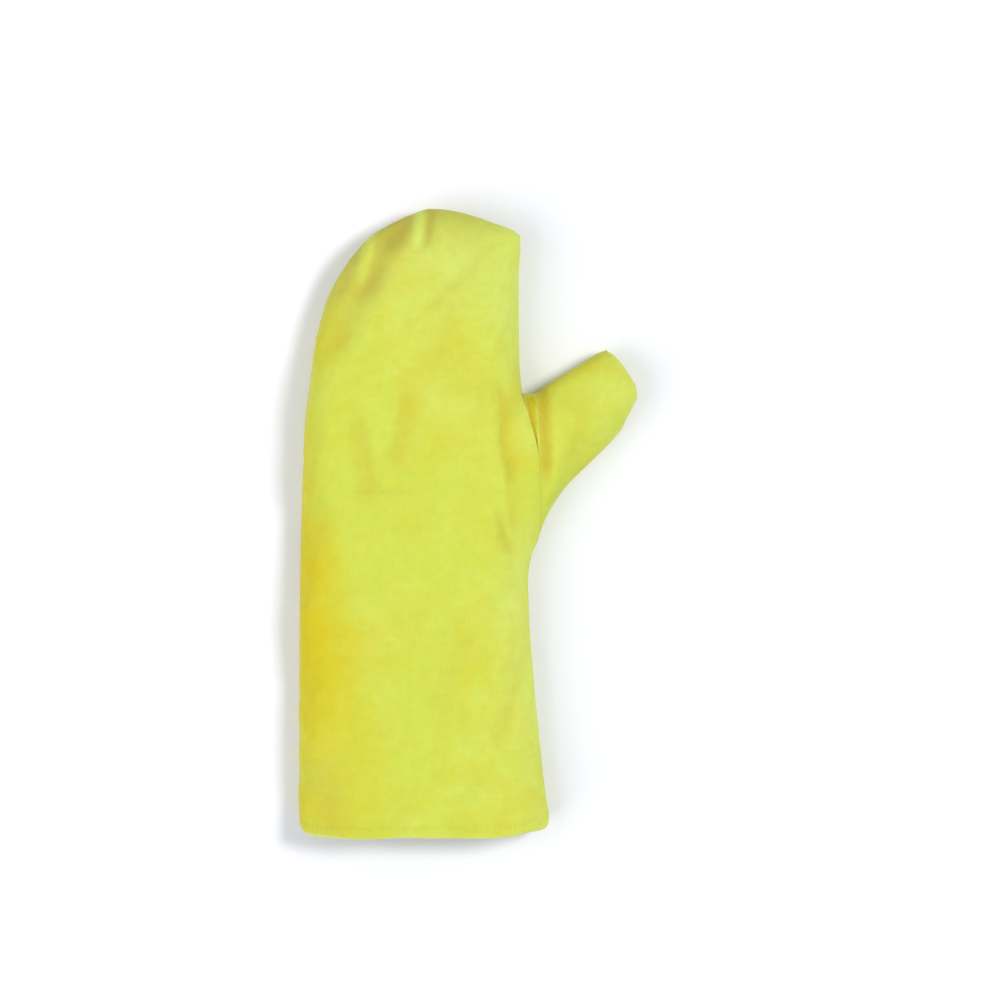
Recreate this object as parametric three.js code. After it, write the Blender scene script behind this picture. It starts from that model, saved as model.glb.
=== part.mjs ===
// A heat-resistant mitten with a long cuff, for the left hand, sewn from thick woven aramid cloth.
// It lies empty, palm down, with the back of the hand up and its mouth open.
// Millimetres: +Y points to the fingertips, +X to the thumb and +Z up.
// The origin is on the surface that it lies on, under the middle of its outline.
import * as THREE from 'three';

// Cloth and seams
const CLOTH = 2.4; // thickness of the cloth with its backing
const SEWN_GAP = 0.4; // between the edges of two pieces that are sewn together
const HEM_WIDTH = 7; // the turned edge at the mouth, from fold to stitch line
const HEM_CLOTH = 4.2; // the hem is the cloth folded on itself and pressed
const HEM_BEND = 1.2; // the bevel that stands for the round fold
const HEM_PINCH = 3; // from its stitch line to where the hem reaches that thickness

// Heights and roundings
const SEAM_HEIGHT = 11; // the side seams above the surface
const TOP_ROUNDING = 30; // how far in from a seam the upper cloth goes on rising
const UNDER_ROUNDING = 15; // how far in from a seam the lower cloth first lies flat
const FINGERTIP_LIFT = 5; // the stiff tip seam curls up off the surface
const LIFT = { from: 120, to: 200 }; // where along the hand that curl begins and ends
const FOLD_RAMP = 7; // folds die out over this distance from a sewn edge

// How far the upper cloth stands above the side seams, along the mitten
const LOFT = [
  { y: -205, rise: 23 },
  { y: -110, rise: 24 },
  { y: -20, rise: 27 },
  { y: 90, rise: 30 },
  { y: 205, rise: 28 },
];

// The outline seen from above, as smooth curves through these points, each running on from the last
const LITTLE_FINGER_SIDE = [
  { x: -107.7, y: -184 },
  { x: -107.7, y: -90 },
  { x: -106.9, y: -22 },
  { x: -105.2, y: 38 },
  { x: -103.6, y: 69 },
  { x: -100.6, y: 92 },
  { x: -96.4, y: 116 },
  { x: -90.6, y: 138 },
  { x: -84, y: 154 },
  { x: -75.5, y: 168.5 },
];
const FINGERTIP_EDGE = [
  { x: -75.5, y: 168.5 },
  { x: -65.3, y: 179.2 },
  { x: -54.2, y: 187.6 },
  { x: -40, y: 194.9 },
  { x: -27, y: 199.8 },
  { x: -15, y: 199.8 },
  { x: 0, y: 196.8 },
  { x: 16, y: 191.6 },
  { x: 28, y: 187.2 },
  { x: 33, y: 183.4 },
];
const INDEX_SIDE = [
  { x: 33, y: 183.4 },
  { x: 33.2, y: 176 },
  { x: 32.3, y: 160 },
  { x: 32.5, y: 118 },
  { x: 33, y: 98 },
  { x: 34.3, y: 83.8 },
];
const THUMB_UPPER_EDGE = [
  { x: 34.3, y: 83.8 },
  { x: 41, y: 83.4 },
  { x: 53, y: 91 },
  { x: 69.4, y: 101.3 },
  { x: 83, y: 109.6 },
  { x: 87.6, y: 111.2 },
];
const THUMB_END = [
  { x: 87.6, y: 111.2 },
  { x: 94.7, y: 105.8 },
  { x: 101.4, y: 96.8 },
  { x: 106.4, y: 88.2 },
  { x: 107.7, y: 82 },
];
const THUMB_LOWER_EDGE = [
  { x: 107.7, y: 82 },
  { x: 105, y: 73.6 },
  { x: 99, y: 62.6 },
  { x: 90, y: 51.4 },
  { x: 77, y: 37.3 },
  { x: 64, y: 23.2 },
  { x: 56, y: 12.4 },
  { x: 49.8, y: 2.4 },
  { x: 45, y: -7 },
];
const WRIST_SIDE = [
  { x: 45, y: -7 },
  { x: 40.4, y: -19.6 },
  { x: 38.4, y: -32 },
  { x: 38.5, y: -47 },
  { x: 40, y: -76 },
  { x: 43, y: -111 },
  { x: 48.7, y: -166 },
  { x: 51.6, y: -186 },
];
// The seam across the thumb's base, from the crotch to where it meets the outline again
const THUMB_SEAM = [
  { x: 34.3, y: 83.8 },
  { x: 37.6, y: 73 },
  { x: 41.2, y: 61 },
  { x: 43.8, y: 50 },
  { x: 45.4, y: 32 },
  { x: 46.2, y: 14 },
  { x: 45, y: -7 },
];
// The lower edge of the mouth, seen from above, of the back and of the palm
const MOUTH_OF_BACK = [
  { x: -107.7, y: -184 },
  { x: -106.7, y: -190.4 },
  { x: -103.4, y: -194.4 },
  { x: -91, y: -197 },
  { x: -69, y: -198.8 },
  { x: -56, y: -198.7 },
  { x: -44, y: -197.8 },
  { x: -4, y: -198.2 },
  { x: 18, y: -197.8 },
  { x: 29, y: -196.6 },
  { x: 39, y: -194.6 },
  { x: 47, y: -193.4 },
  { x: 50.6, y: -191.6 },
  { x: 51.6, y: -186 },
];
const MOUTH_OF_PALM = [
  { x: -107.7, y: -184 },
  { x: -103, y: -190.4 },
  { x: -92, y: -193.6 },
  { x: -30, y: -195.4 },
  { x: 34, y: -192.8 },
  { x: 46, y: -190.8 },
  { x: 51.6, y: -186 },
];

// Folds and dents of the upper cloth, each along a line: depth is down, and a ridge has a negative one
const FOLDS = [
  { name: 'valley beside the thumb seam', x1: 24, y1: 78, x2: 29, y2: 6, halfWidth: 6.5, depth: 3 },
  { name: 'dimple under the thumb', x1: 20, y1: -2, x2: 29, y2: -18, halfWidth: 6, depth: 1.6 },
  { name: 'valley on the thumb', x1: 51, y1: 66, x2: 53, y2: 32, halfWidth: 5, depth: 2 },
  { name: 'pucker at the fingertip', x1: -13, y1: 193, x2: -3, y2: 166, halfWidth: 6, depth: 2.4 },
  { name: 'ridge at the fingertip', x1: -27, y1: 196, x2: -24, y2: 172, halfWidth: 5, depth: -1.8 },
  { name: 'pucker at the upper side', x1: -58, y1: 182, x2: -46, y2: 142, halfWidth: 7, depth: 2.4 },
  { name: 'ridge at the upper side', x1: -70, y1: 168, x2: -66, y2: 136, halfWidth: 6, depth: -1.6 },
  { name: 'crease over the knuckles', x1: 6, y1: 157, x2: -24, y2: 132, halfWidth: 6, depth: 1 },
  { name: 'dent over the back of the hand', x1: -67, y1: 54, x2: -62, y2: 22, halfWidth: 9, depth: 1.6 },
  { name: 'crease at the wrist', x1: -60, y1: 20, x2: -2, y2: 14, halfWidth: 7, depth: 1.3 },
  { name: 'side of the cuff', x1: -86, y1: -20, x2: -88, y2: -170, halfWidth: 12, depth: 1.8 },
];

// How many equal steps the meshes take, apart from the closer ones beside sewn edges
const BACK_ACROSS = 20;
const BACK_ALONG = { cuff: 20, hand: 14 };
const PALM_ACROSS = 12;
const PALM_ALONG = { cuff: 10, hand: 8 };
const THUMB_STEPS = { across: 9, along: 9 }; // across is along the seam at its base, so the panels share it
const FINE_STEPS = [0.08, 0.36]; // the closer steps, as shares of an equal one

// A curve through points, given by the share of its length from 0 to 1
function smoothCurve(points) {
  const places = points.map(({ x, y }) => new THREE.Vector3(x, y, 0));
  const curve = new THREE.CatmullRomCurve3(places, false, 'centripetal');
  curve.arcLengthDivisions = 20 * points.length;
  return { length: curve.getLength(), at: (share) => curve.getPointAt(Math.min(Math.max(share, 0), 1)) };
}

const reversed = (curve) => ({ length: curve.length, at: (share) => curve.at(1 - share) });

// Several curves end to end as one, with the shares of its length at which each of them ends
function chain(...curves) {
  const length = curves.reduce((sum, curve) => sum + curve.length, 0);
  let reached = 0;
  const ends = curves.map((curve) => (reached += curve.length) / length);
  const at = (share) => {
    const found = ends.findIndex((end) => share <= end);
    const k = found < 0 ? curves.length - 1 : found;
    const start = k ? ends[k - 1] : 0;
    return curves[k].at((share - start) / (ends[k] - start));
  };
  return { length, ends, at };
}

const littleFingerSide = smoothCurve(LITTLE_FINGER_SIDE);
const fingertipEdge = smoothCurve(FINGERTIP_EDGE);
const indexSide = smoothCurve(INDEX_SIDE);
const thumbUpperEdge = smoothCurve(THUMB_UPPER_EDGE);
const thumbEnd = smoothCurve(THUMB_END);
const thumbLowerEdge = smoothCurve(THUMB_LOWER_EDGE);
const wristSide = smoothCurve(WRIST_SIDE);
const thumbSeam = smoothCurve(THUMB_SEAM);

// The sewn outline as short straight stretches; beyond the mouth its two sides just run on
const sewnOutline = (() => {
  const OUTLINE_STEP = 4;
  const RUN_ON = 300; // far enough for the mouth not to count as a sewn end
  const sewn = chain(
    littleFingerSide, fingertipEdge, indexSide, thumbUpperEdge, thumbEnd, thumbLowerEdge, wristSide,
  );
  const points = [];
  let start = 0;
  for (const end of sewn.ends) {
    const count = Math.ceil(((end - start) * sewn.length) / OUTLINE_STEP);
    for (let k = 0; k < count; k++) points.push(sewn.at(start + ((end - start) * k) / count));
    start = end;
  }
  points.push(sewn.at(1));
  const below = (place) => place.clone().add(new THREE.Vector3(0, -RUN_ON, 0));
  return [below(points[0]), ...points, below(points[points.length - 1])];
})();

// How far a place is from the sewn outline, smoothed: each stretch counts by the angle it is seen under
function nearSeam(x, y) {
  const TINY = 1e-4;
  let seen = 0;
  for (let k = 1; k < sewnOutline.length; k++) {
    const ax = sewnOutline[k - 1].x - x;
    const ay = sewnOutline[k - 1].y - y;
    const bx = sewnOutline[k].x - x;
    const by = sewnOutline[k].y - y;
    const cross = Math.abs(ax * by - ay * bx);
    const dot = ax * bx + ay * by;
    const stretch = Math.hypot(bx - ax, by - ay);
    const away = cross / stretch;
    if (away < TINY && dot <= TINY) return 0;
    seen += away < TINY ? stretch / dot : Math.atan2(cross, dot) / away;
  }
  return Math.PI / seen;
}

// The direction in which nearSeam grows, and how fast
function inward(x, y) {
  const STEP = 0.4;
  return new THREE.Vector2(
    nearSeam(x + STEP, y) - nearSeam(x - STEP, y),
    nearSeam(x, y + STEP) - nearSeam(x, y - STEP),
  ).divideScalar(2 * STEP);
}

const smooth = (share) => THREE.MathUtils.smoothstep(share, 0, 1);

function loftAt(y) {
  const next = Math.min(Math.max(LOFT.findIndex((row) => row.y > y), 1), LOFT.length - 1);
  const [low, high] = [LOFT[next - 1], LOFT[next]];
  return THREE.MathUtils.lerp(low.rise, high.rise, smooth((y - low.y) / (high.y - low.y)));
}

function foldsAt(x, y) {
  return FOLDS.reduce((sum, { x1, y1, x2, y2, halfWidth, depth }) => {
    const [dx, dy] = [x2 - x1, y2 - y1];
    const share = ((x - x1) * dx + (y - y1) * dy) / (dx * dx + dy * dy);
    const nearest = Math.min(Math.max(share, 0), 1);
    const away = Math.hypot(x - x1 - nearest * dx, y - y1 - nearest * dy);
    return sum + depth * Math.exp(-((away / halfWidth) ** 2));
  }, 0);
}

const liftAt = (y) => FINGERTIP_LIFT * smooth((y - LIFT.from) / (LIFT.to - LIFT.from));
const seamHeightAt = (y) => SEAM_HEIGHT + liftAt(y);

// A quarter of an ellipse: 0 at the seam and 1 where the cloth has come level, with its slope there
function roundOff(near, rounding) {
  const left = 1 - Math.min(near / rounding, 1);
  const share = Math.sqrt(1 - left * left);
  return { share, slope: share > 0 ? left / (rounding * share) : Infinity };
}

// A place on the upper or lower cloth: its outside and its inside. Sewn says that it is on a seam, and
// middle is a place well inside the piece, towards which the slope beside a seam is looked up.
function clothAt({ x, y }, side, sewn, middle) {
  const near = sewn ? 0 : nearSeam(x, y);
  const up = side === 'upper';
  const height = up ? loftAt(y) : SEAM_HEIGHT;
  const { share, slope } = roundOff(near, up ? TOP_ROUNDING : UNDER_ROUNDING);
  const fold = up ? foldsAt(x, y) * smooth(near / FOLD_RAMP) : 0;
  const sign = up ? 1 : -1;
  const z = seamHeightAt(y) + sign * (sewn ? SEWN_GAP / 2 : height * share) - fold;
  const towards = new THREE.Vector2(middle.x - x, middle.y - y).setLength(Math.max(CLOTH - near, 0));
  const turn = inward(x + towards.x, y + towards.y);
  const level = 1 / Math.hypot(1, slope * height * turn.length());
  const inset = turn.setLength(CLOTH * Math.sqrt(1 - level * level));
  return {
    outer: new THREE.Vector3(x, y, z),
    inner: new THREE.Vector3(x + inset.x, y + inset.y, z - sign * CLOTH * level),
  };
}

// A place inside four curves that meet at their ends (a Coons patch)
function patch({ start, end, left, right }) {
  const corners = [left.at(0), right.at(0), left.at(1), right.at(1)];
  return (across, along) => {
    const place = new THREE.Vector3();
    place.addScaledVector(start.at(across), 1 - along).addScaledVector(end.at(across), along);
    place.addScaledVector(left.at(along), 1 - across).addScaledVector(right.at(along), across);
    place.addScaledVector(corners[0], -(1 - across) * (1 - along));
    place.addScaledVector(corners[1], -across * (1 - along));
    place.addScaledVector(corners[2], -(1 - across) * along);
    return place.addScaledVector(corners[3], -across * along);
  };
}

// Shares from low to high in equal steps, with closer ones at a sewn end
function steps(low, high, count, fineStart, fineEnd) {
  const equal = (high - low) / count;
  const shares = Array.from({ length: count + 1 }, (_, k) => low + equal * k);
  if (fineStart) shares.splice(1, 0, ...FINE_STEPS.map((fine) => low + equal * fine));
  if (fineEnd) shares.splice(-1, 0, ...FINE_STEPS.map((fine) => high - equal * fine).reverse());
  return shares;
}

function meshOf(positions, index) {
  const geometry = new THREE.BufferGeometry();
  geometry.setAttribute('position', new THREE.Float32BufferAttribute(positions, 3));
  geometry.setIndex(index);
  geometry.computeVertexNormals();
  return geometry;
}

// The solid between the outside and the inside of a grid of cloth places, closed by rims at its borders
function clothSolid(grid) {
  const [rows, columns] = [grid.length, grid[0].length];
  const layers = ['outer', 'inner'];
  const positions = layers.flatMap((layer) => grid.flat().flatMap((place) => place[layer].toArray()));
  const index = [];
  const at = (layer, j, i) => (layer * rows + j) * columns + i;
  const quad = (a, b, c, d) => index.push(a, b, c, a, c, d);
  for (let j = 0; j + 1 < rows; j++) {
    for (let i = 0; i + 1 < columns; i++) {
      quad(at(0, j, i), at(0, j, i + 1), at(0, j + 1, i + 1), at(0, j + 1, i));
      quad(at(1, j, i), at(1, j + 1, i), at(1, j + 1, i + 1), at(1, j, i + 1));
    }
  }
  const border = [];
  for (let i = 0; i + 1 < columns; i++) border.push([0, i]);
  for (let j = 0; j + 1 < rows; j++) border.push([j, columns - 1]);
  for (let i = columns - 1; i > 0; i--) border.push([rows - 1, i]);
  for (let j = rows - 1; j > 0; j--) border.push([j, 0]);
  border.forEach(([j, i], k) => {
    const [nextJ, nextI] = border[(k + 1) % border.length];
    quad(at(0, nextJ, nextI), at(0, j, i), at(1, j, i), at(1, nextJ, nextI));
  });
  return meshOf(positions, index);
}

const mouthOfBack = smoothCurve(MOUTH_OF_BACK);
const mouthOfPalm = smoothCurve(MOUTH_OF_PALM);

// The line that runs across the cuff at some height above the mouth, between the two side seams
function lineAbove(mouth, height) {
  const sides = [littleFingerSide, reversed(wristSide)];
  const drifts = sides.map((side) => side.at(height / side.length).sub(side.at(0)));
  return {
    at: (share) => mouth.at(share).addScaledVector(drifts[0], 1 - share).addScaledVector(drifts[1], share),
  };
}

// A side of the cuff from that height upwards
function sideAbove(side, height) {
  const cut = height / side.length;
  return { length: side.length - height, at: (share) => side.at(cut + (1 - cut) * share) };
}

function handPanel(mouth, side, across, along) {
  const PANEL_START = HEM_WIDTH + SEWN_GAP;
  const left = sideAbove(littleFingerSide, PANEL_START);
  const right = chain(
    sideAbove(reversed(wristSide), PANEL_START), reversed(thumbSeam), reversed(indexSide),
  );
  const place = patch({ start: lineAbove(mouth, PANEL_START), end: fingertipEdge, left, right });
  const [seamStart, crotch] = right.ends;
  const rows = [
    ...steps(0, seamStart, along.cuff),
    ...steps(seamStart, crotch, THUMB_STEPS.across, true, true).slice(1),
    ...steps(crotch, 1, along.hand, false, true).slice(1),
  ];
  const columns = steps(0, 1, across, true, true);
  if (side === 'lower') columns.reverse();
  const MIDDLE_X = -36;
  const HIGHEST_MIDDLE = 140; // so that beside the fingertips the middle lies below them
  return rows.map((v) => columns.map((u) => {
    const atThumb = v > seamStart && v < crotch;
    const sewn = u === 0 || v === 1 || (u === 1 && !atThumb);
    const at = place(u, v);
    return clothAt(at, side, sewn, { x: MIDDLE_X, y: Math.min(at.y, HIGHEST_MIDDLE) });
  }));
}

// The thumb is one piece, folded along its lower edge and sewn along its upper edge and its end
function thumbPiece() {
  const SLANTED_GAP = 3 * SEWN_GAP; // along the lower edge, which meets the seam at a sharp angle
  const from = (curve, gap) => ({
    at: (share) => curve.at(THREE.MathUtils.lerp(gap / curve.length, 1, share)),
  });
  const upper = from(thumbUpperEdge, SEWN_GAP);
  const lower = from(reversed(thumbLowerEdge), SLANTED_GAP);
  const away = [upper.at(0).sub(thumbSeam.at(0)), lower.at(0).sub(thumbSeam.at(1))];
  const base = {
    at: (share) => thumbSeam.at(share).addScaledVector(away[0], 1 - share).addScaledVector(away[1], share),
  };
  const place = patch({ start: base, end: thumbEnd, left: upper, right: lower });
  const MIDDLE = { x: 74, y: 72 };
  const columns = steps(0, 1, THUMB_STEPS.across, true, true);
  const rows = steps(0, 1, THUMB_STEPS.along, false, true);
  return rows.map((v) => {
    const half = (side) => columns.map((u) => {
      const sewn = u === 0 || u === 1 || v === 1;
      return clothAt(place(u, v), side, sewn, MIDDLE);
    });
    const onTop = half('upper');
    const below = half('lower').reverse();
    const turned = onTop.pop();
    for (const layer of ['outer', 'inner']) turned[layer].z = seamHeightAt(turned[layer].y);
    return [...onTop, turned, ...below.slice(1)];
  });
}

// The hem runs round the whole mouth. Its section is a table: how far towards the mouth, and how deep.
// It is pinched by its stitches, and swells to the fold at the mouth.
const HEM_SECTION = [
  { towardsMouth: 0, depth: 0 },
  { towardsMouth: HEM_WIDTH - HEM_BEND, depth: 0 },
  { towardsMouth: HEM_WIDTH, depth: HEM_BEND },
  { towardsMouth: HEM_WIDTH, depth: HEM_CLOTH - HEM_BEND },
  { towardsMouth: HEM_WIDTH - HEM_BEND, depth: HEM_CLOTH },
  { towardsMouth: HEM_PINCH, depth: HEM_CLOTH },
  { towardsMouth: 0, depth: CLOTH },
];

function hemRing() {
  const MIDDLE = { x: -28, y: -192 };
  const half = (mouth, side, across) => steps(0, 1, across, true, true).map((share) => {
    const sewn = share === 0 || share === 1;
    const stitched = lineAbove(mouth, HEM_WIDTH).at(share);
    return { edge: mouth.at(share), stitched, sewn, cloth: clothAt(stitched, side, sewn, MIDDLE) };
  });
  const back = half(mouthOfBack, 'upper', BACK_ACROSS);
  const palm = half(mouthOfPalm, 'lower', PALM_ACROSS).reverse();
  const round = [...back, ...palm.slice(1, -1)];
  const positions = round.flatMap(({ edge, stitched, sewn, cloth }) => {
    const start = cloth.outer.clone().setZ(sewn ? SEAM_HEIGHT : cloth.outer.z);
    const inwards = cloth.inner.clone().sub(cloth.outer).divideScalar(CLOTH);
    return HEM_SECTION.flatMap(({ towardsMouth, depth }) => start.clone()
      .addScaledVector(edge.clone().sub(stitched), towardsMouth / HEM_WIDTH)
      .addScaledVector(inwards, depth)
      .toArray());
  });
  const index = [];
  const sides = HEM_SECTION.length;
  round.forEach((_, k) => {
    const next = (k + 1) % round.length;
    for (let j = 0; j < sides; j++) {
      const [a, b] = [k * sides + j, k * sides + ((j + 1) % sides)];
      const [c, d] = [next * sides + ((j + 1) % sides), next * sides + j];
      index.push(a, b, c, a, c, d);
    }
  });
  return meshOf(positions, index);
}

function aramid(name, color, roughness) {
  return new THREE.MeshStandardMaterial({ name, color, roughness, metalness: 0 });
}

const shell = aramid('aramid_cloth', '#dce15a', 0.85);
const turnedEdge = aramid('aramid_hem', '#d6d45a', 0.9);

function piece(name, geometry, material) {
  const mesh = new THREE.Mesh(geometry, material);
  mesh.name = name;
  return mesh;
}

const mitten = new THREE.Group();
mitten.add(
  piece('back_panel', clothSolid(handPanel(mouthOfBack, 'upper', BACK_ACROSS, BACK_ALONG)), shell),
  piece('palm_panel', clothSolid(handPanel(mouthOfPalm, 'lower', PALM_ACROSS, PALM_ALONG)), shell),
  piece('thumb', clothSolid(thumbPiece()), shell),
  piece('cuff_hem', hemRing(), turnedEdge),
);

export default mitten;
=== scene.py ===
"""The looks of a heat-resistant mitten with a long cuff, sewn from woven aramid cloth.

It lies empty on its palm, in metres: +Y points to the fingertips, +X to the thumb and +Z up. Each piece of
cloth is laid out as a grid on the form that its solid has, settles as cloth, is gathered and rolled in along
its seams, and is given its thickness.
"""

import logging
import math
from abc import ABC, abstractmethod
from dataclasses import dataclass, field
from enum import Enum
from functools import cached_property
from typing import Any

import bmesh
import bpy
import numpy as np
from mathutils import Matrix, Vector, noise


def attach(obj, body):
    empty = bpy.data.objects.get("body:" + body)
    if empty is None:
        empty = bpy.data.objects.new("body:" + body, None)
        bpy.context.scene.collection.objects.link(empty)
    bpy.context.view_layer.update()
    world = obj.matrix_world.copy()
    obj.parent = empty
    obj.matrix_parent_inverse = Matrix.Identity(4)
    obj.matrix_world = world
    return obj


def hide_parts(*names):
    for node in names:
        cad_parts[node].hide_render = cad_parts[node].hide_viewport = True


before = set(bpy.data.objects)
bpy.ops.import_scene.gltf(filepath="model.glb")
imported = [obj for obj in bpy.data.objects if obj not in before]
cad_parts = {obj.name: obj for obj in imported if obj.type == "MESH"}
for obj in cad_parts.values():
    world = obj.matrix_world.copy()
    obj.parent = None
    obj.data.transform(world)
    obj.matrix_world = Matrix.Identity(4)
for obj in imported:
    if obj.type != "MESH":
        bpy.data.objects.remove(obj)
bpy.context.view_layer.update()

LOG = logging.getLogger("mitten")
BODY = "root"
PAIRS_AT_ONCE = 1_500_000


def mm(value: float) -> float:
    """Turns millimetres into metres."""
    return value * 0.001


SAME_PLACE = mm(0.01)


class Side(Enum):
    """The two faces of the lying mitten."""

    UPPER = 1
    LOWER = -1


class Border(Enum):
    """The borders of a grid of cloth."""

    START = "first row"
    END = "last row"
    LEFT = "first column"
    RIGHT = "last column"


# The outline seen from above, as smooth curves through points of x and y in millimetres, each running on
# from the last
LITTLE_FINGER_SIDE = (
    (-107.7, -184), (-107.7, -90), (-106.9, -22), (-105.2, 38), (-103.6, 69),
    (-100.6, 92), (-96.4, 116), (-90.6, 138), (-84, 154), (-75.5, 168.5),
)
FINGERTIP_EDGE = (
    (-75.5, 168.5), (-65.3, 179.2), (-54.2, 187.6), (-40, 194.9), (-27, 199.8),
    (-15, 199.8), (0, 196.8), (16, 191.6), (28, 187.2), (33, 183.4),
)
INDEX_SIDE = ((33, 183.4), (33.2, 176), (32.3, 160), (32.5, 118), (33, 98), (34.3, 83.8))
THUMB_UPPER_EDGE = ((34.3, 83.8), (41, 83.4), (53, 91), (69.4, 101.3), (83, 109.6), (87.6, 111.2))
THUMB_END = ((87.6, 111.2), (94.7, 105.8), (101.4, 96.8), (106.4, 88.2), (107.7, 82))
THUMB_LOWER_EDGE = (
    (107.7, 82), (105, 73.6), (99, 62.6), (90, 51.4), (77, 37.3), (64, 23.2), (56, 12.4), (49.8, 2.4),
    (45, -7),
)
WRIST_SIDE = (
    (45, -7), (40.4, -19.6), (38.4, -32), (38.5, -47), (40, -76), (43, -111), (48.7, -166), (51.6, -186),
)
THUMB_SEAM = ((34.3, 83.8), (36.5, 75), (39.3, 64.5), (43, 52), (45.2, 35), (46.2, 14), (45, -7))
MOUTH_OF_BACK = (
    (-107.7, -184), (-107.0, -190.6), (-104.6, -195), (-93, -197.2), (-69, -198.8), (-56, -198.7),
    (-44, -197.8), (-4, -198.2), (18, -197.8), (29, -196.6), (39, -194.6), (47, -193.4), (50.6, -191.6),
    (51.6, -186),
)
MOUTH_OF_PALM = (
    (-107.7, -184), (-103, -190.4), (-92, -193.6), (-30, -195.4), (34, -192.8), (46, -190.8), (51.6, -186),
)


def uneven(flat: np.ndarray, scale: float, seed: float) -> np.ndarray:
    """Gives a soft uneven value over the flat.

    Args:
        flat: Places seen from above.
        scale: How far apart its highs lie.
        seed: A number that tells one such value from another.

    Returns:
        The value at each place, mostly from -0.5 to 0.5.
    """
    places = (flat.reshape(-1, flat.shape[-1])[:, :2] / scale).tolist()
    values = [noise.fractal(Vector((x, y, seed)), 1.0, 2.0, 3) for x, y in places]
    return np.array(values).reshape(flat.shape[:-1])


@dataclass(frozen=True)
class Fold:
    """One fold of the upper cloth, seen from above, from a start to an end in millimetres.

    Depth is down into the cloth, so a ridge has a negative one. Its golden and dark amounts tint the
    cloth over the fold: where positive, as in a hollow, they are painted shade, and where negative, as on a
    ridge, painted light. The width and the depth at the end are the taper times those at the start. A fold
    that leans is steeper on one side: on its right, seen along it, for a negative lean. A higher bluntness
    gives it a flatter bed. It overruns both of its ends by a share of its length, and fades over another
    share.
    """

    start: tuple[float, float]
    end: tuple[float, float]
    half_width: float
    depth: float
    golden_and_painted_shade: float = 0.0
    painted_shade: float = 0.0
    taper: float = 1.0
    lean: float = 0.0
    bluntness: float = 2.0
    overrun: float = 0.12
    fade: float = 0.35

    def share_at(self, flat: np.ndarray) -> np.ndarray:
        """Gives how much of the fold's depth there is at places; it fades towards both ends.

        Args:
            flat: The places seen from above, in metres.

        Returns:
            The share at each, 1 on the fold's line.
        """
        start, end = np.array(self.start) * mm(1), np.array(self.end) * mm(1)
        run = end - start
        offset = flat - start
        share = (offset @ run) / (run @ run)
        aside = (run[0] * offset[..., 1] - run[1] * offset[..., 0]) / np.linalg.norm(run)
        fading = smooth((share + self.overrun) / self.fade) * smooth((1 + self.overrun - share) / self.fade)
        narrowing = 1 + (self.taper - 1) * np.clip(share, 0, 1)
        width = mm(self.half_width) * narrowing * (1 - self.lean * np.sign(aside))
        return fading * narrowing * np.exp(-((np.abs(aside) / width) ** self.bluntness))


# Start, end, half width, depth, golden (partly painted shade), dull (painted shade; painted light where
# negative), taper, lean, bluntness
HAND_FOLDS = (
    Fold((18.2, 90), (24.8, 26), 5.0, 3.2, 0.34, 0.20, 0.8, -0.65),  # valley beside the thumb seam
    Fold((24.6, 42), (29, -6), 4.5, 1.7, 0.15, 0.30, 0.7, -0.5),  # lower end of that valley
    Fold((13, 92), (18.6, 40), 3.0, -1.3, -0.4, -0.4),  # lip on the valley's left
    Fold((17.5, 8), (25, -18), 3.2, 2.2, 0.05, 0.40, 1.0, -0.3),  # dimple under the thumb
    Fold((-21.6, 204), (-26.4, 174), 4.0, 2.6, 0.0, 0.50),  # pucker at the fingertip
    Fold((-29, 207), (-33, 176), 2.6, -2.6, 0.0, -1.0),  # ridge at the fingertip
    Fold((-36, 200), (-48, 172), 5.5, 2.6, 0.0, 0.40),  # hollow left of that ridge
    Fold((-40, 194), (-67, 142), 7.5, 3.0, -0.15, 0.45),  # hollow along the upper side
    Fold((-58, 162), (-88, 108), 8.5, 2.0, 0.20, 0.34, 0.9),  # its lower end
    Fold((-61, 186), (-67.5, 152), 3.2, -2.2, 0.0, -0.8),  # ridge at the upper side
    Fold((-70, 174), (-84, 142), 3.4, 1.5, -0.10, 0.30),  # hollow beside that ridge
    Fold((26, 182), (-36, 124), 2.4, 0.9, 0.05, 0.16, 1.0, 0.3),  # crease over the knuckles
    Fold((-4, 160), (-22, 94), 9.0, 1.1, 0.15, 0.12),  # dent above the knuckles
    Fold((-70, 74), (-60, 14), 7.0, 2.0, 0.30, 0.22, 1.0, 0.3),  # dent over the back of the hand
    Fold((-36, 92), (-48, 34), 7.0, 1.6, 0.40, 0.20, 1.0, -0.4),  # small dent beside it
    Fold((-70, 20.5), (-34, 21.5), 1.5, 0.9, 0.05, 0.28),  # faint line at the wrist
    Fold((-91, 104), (-88, 4), 10.0, -2.4, -0.2, -0.4),  # swell above the wrist
    Fold((42, -22), (4, -55), 3.0, -1.3, -0.2),  # ridge beside the wrist
    Fold((44, -44), (8, -112), 4.5, -1.6, -0.3),  # ridge down the cuff
    Fold((37, -76), (21, -140), 5.0, 1.3, 0.10, 0.12),  # hollow under that ridge
    Fold((-30, -98), (-16, -160), 4.0, -1.2, -0.3),  # ridge in the middle of the cuff
    Fold((-3, -54), (-14, -128), 8.0, 1.3, 0.15, 0.10),  # hollow of the cuff
    Fold((-82, -14), (-68, -168), 9.0, 1.2, 0.10),  # side of the cuff
    Fold((-94, -146), (-84, -204), 13.0, 0.9, -0.05, 0.30),  # hollow by the corner of the mouth
)
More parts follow.
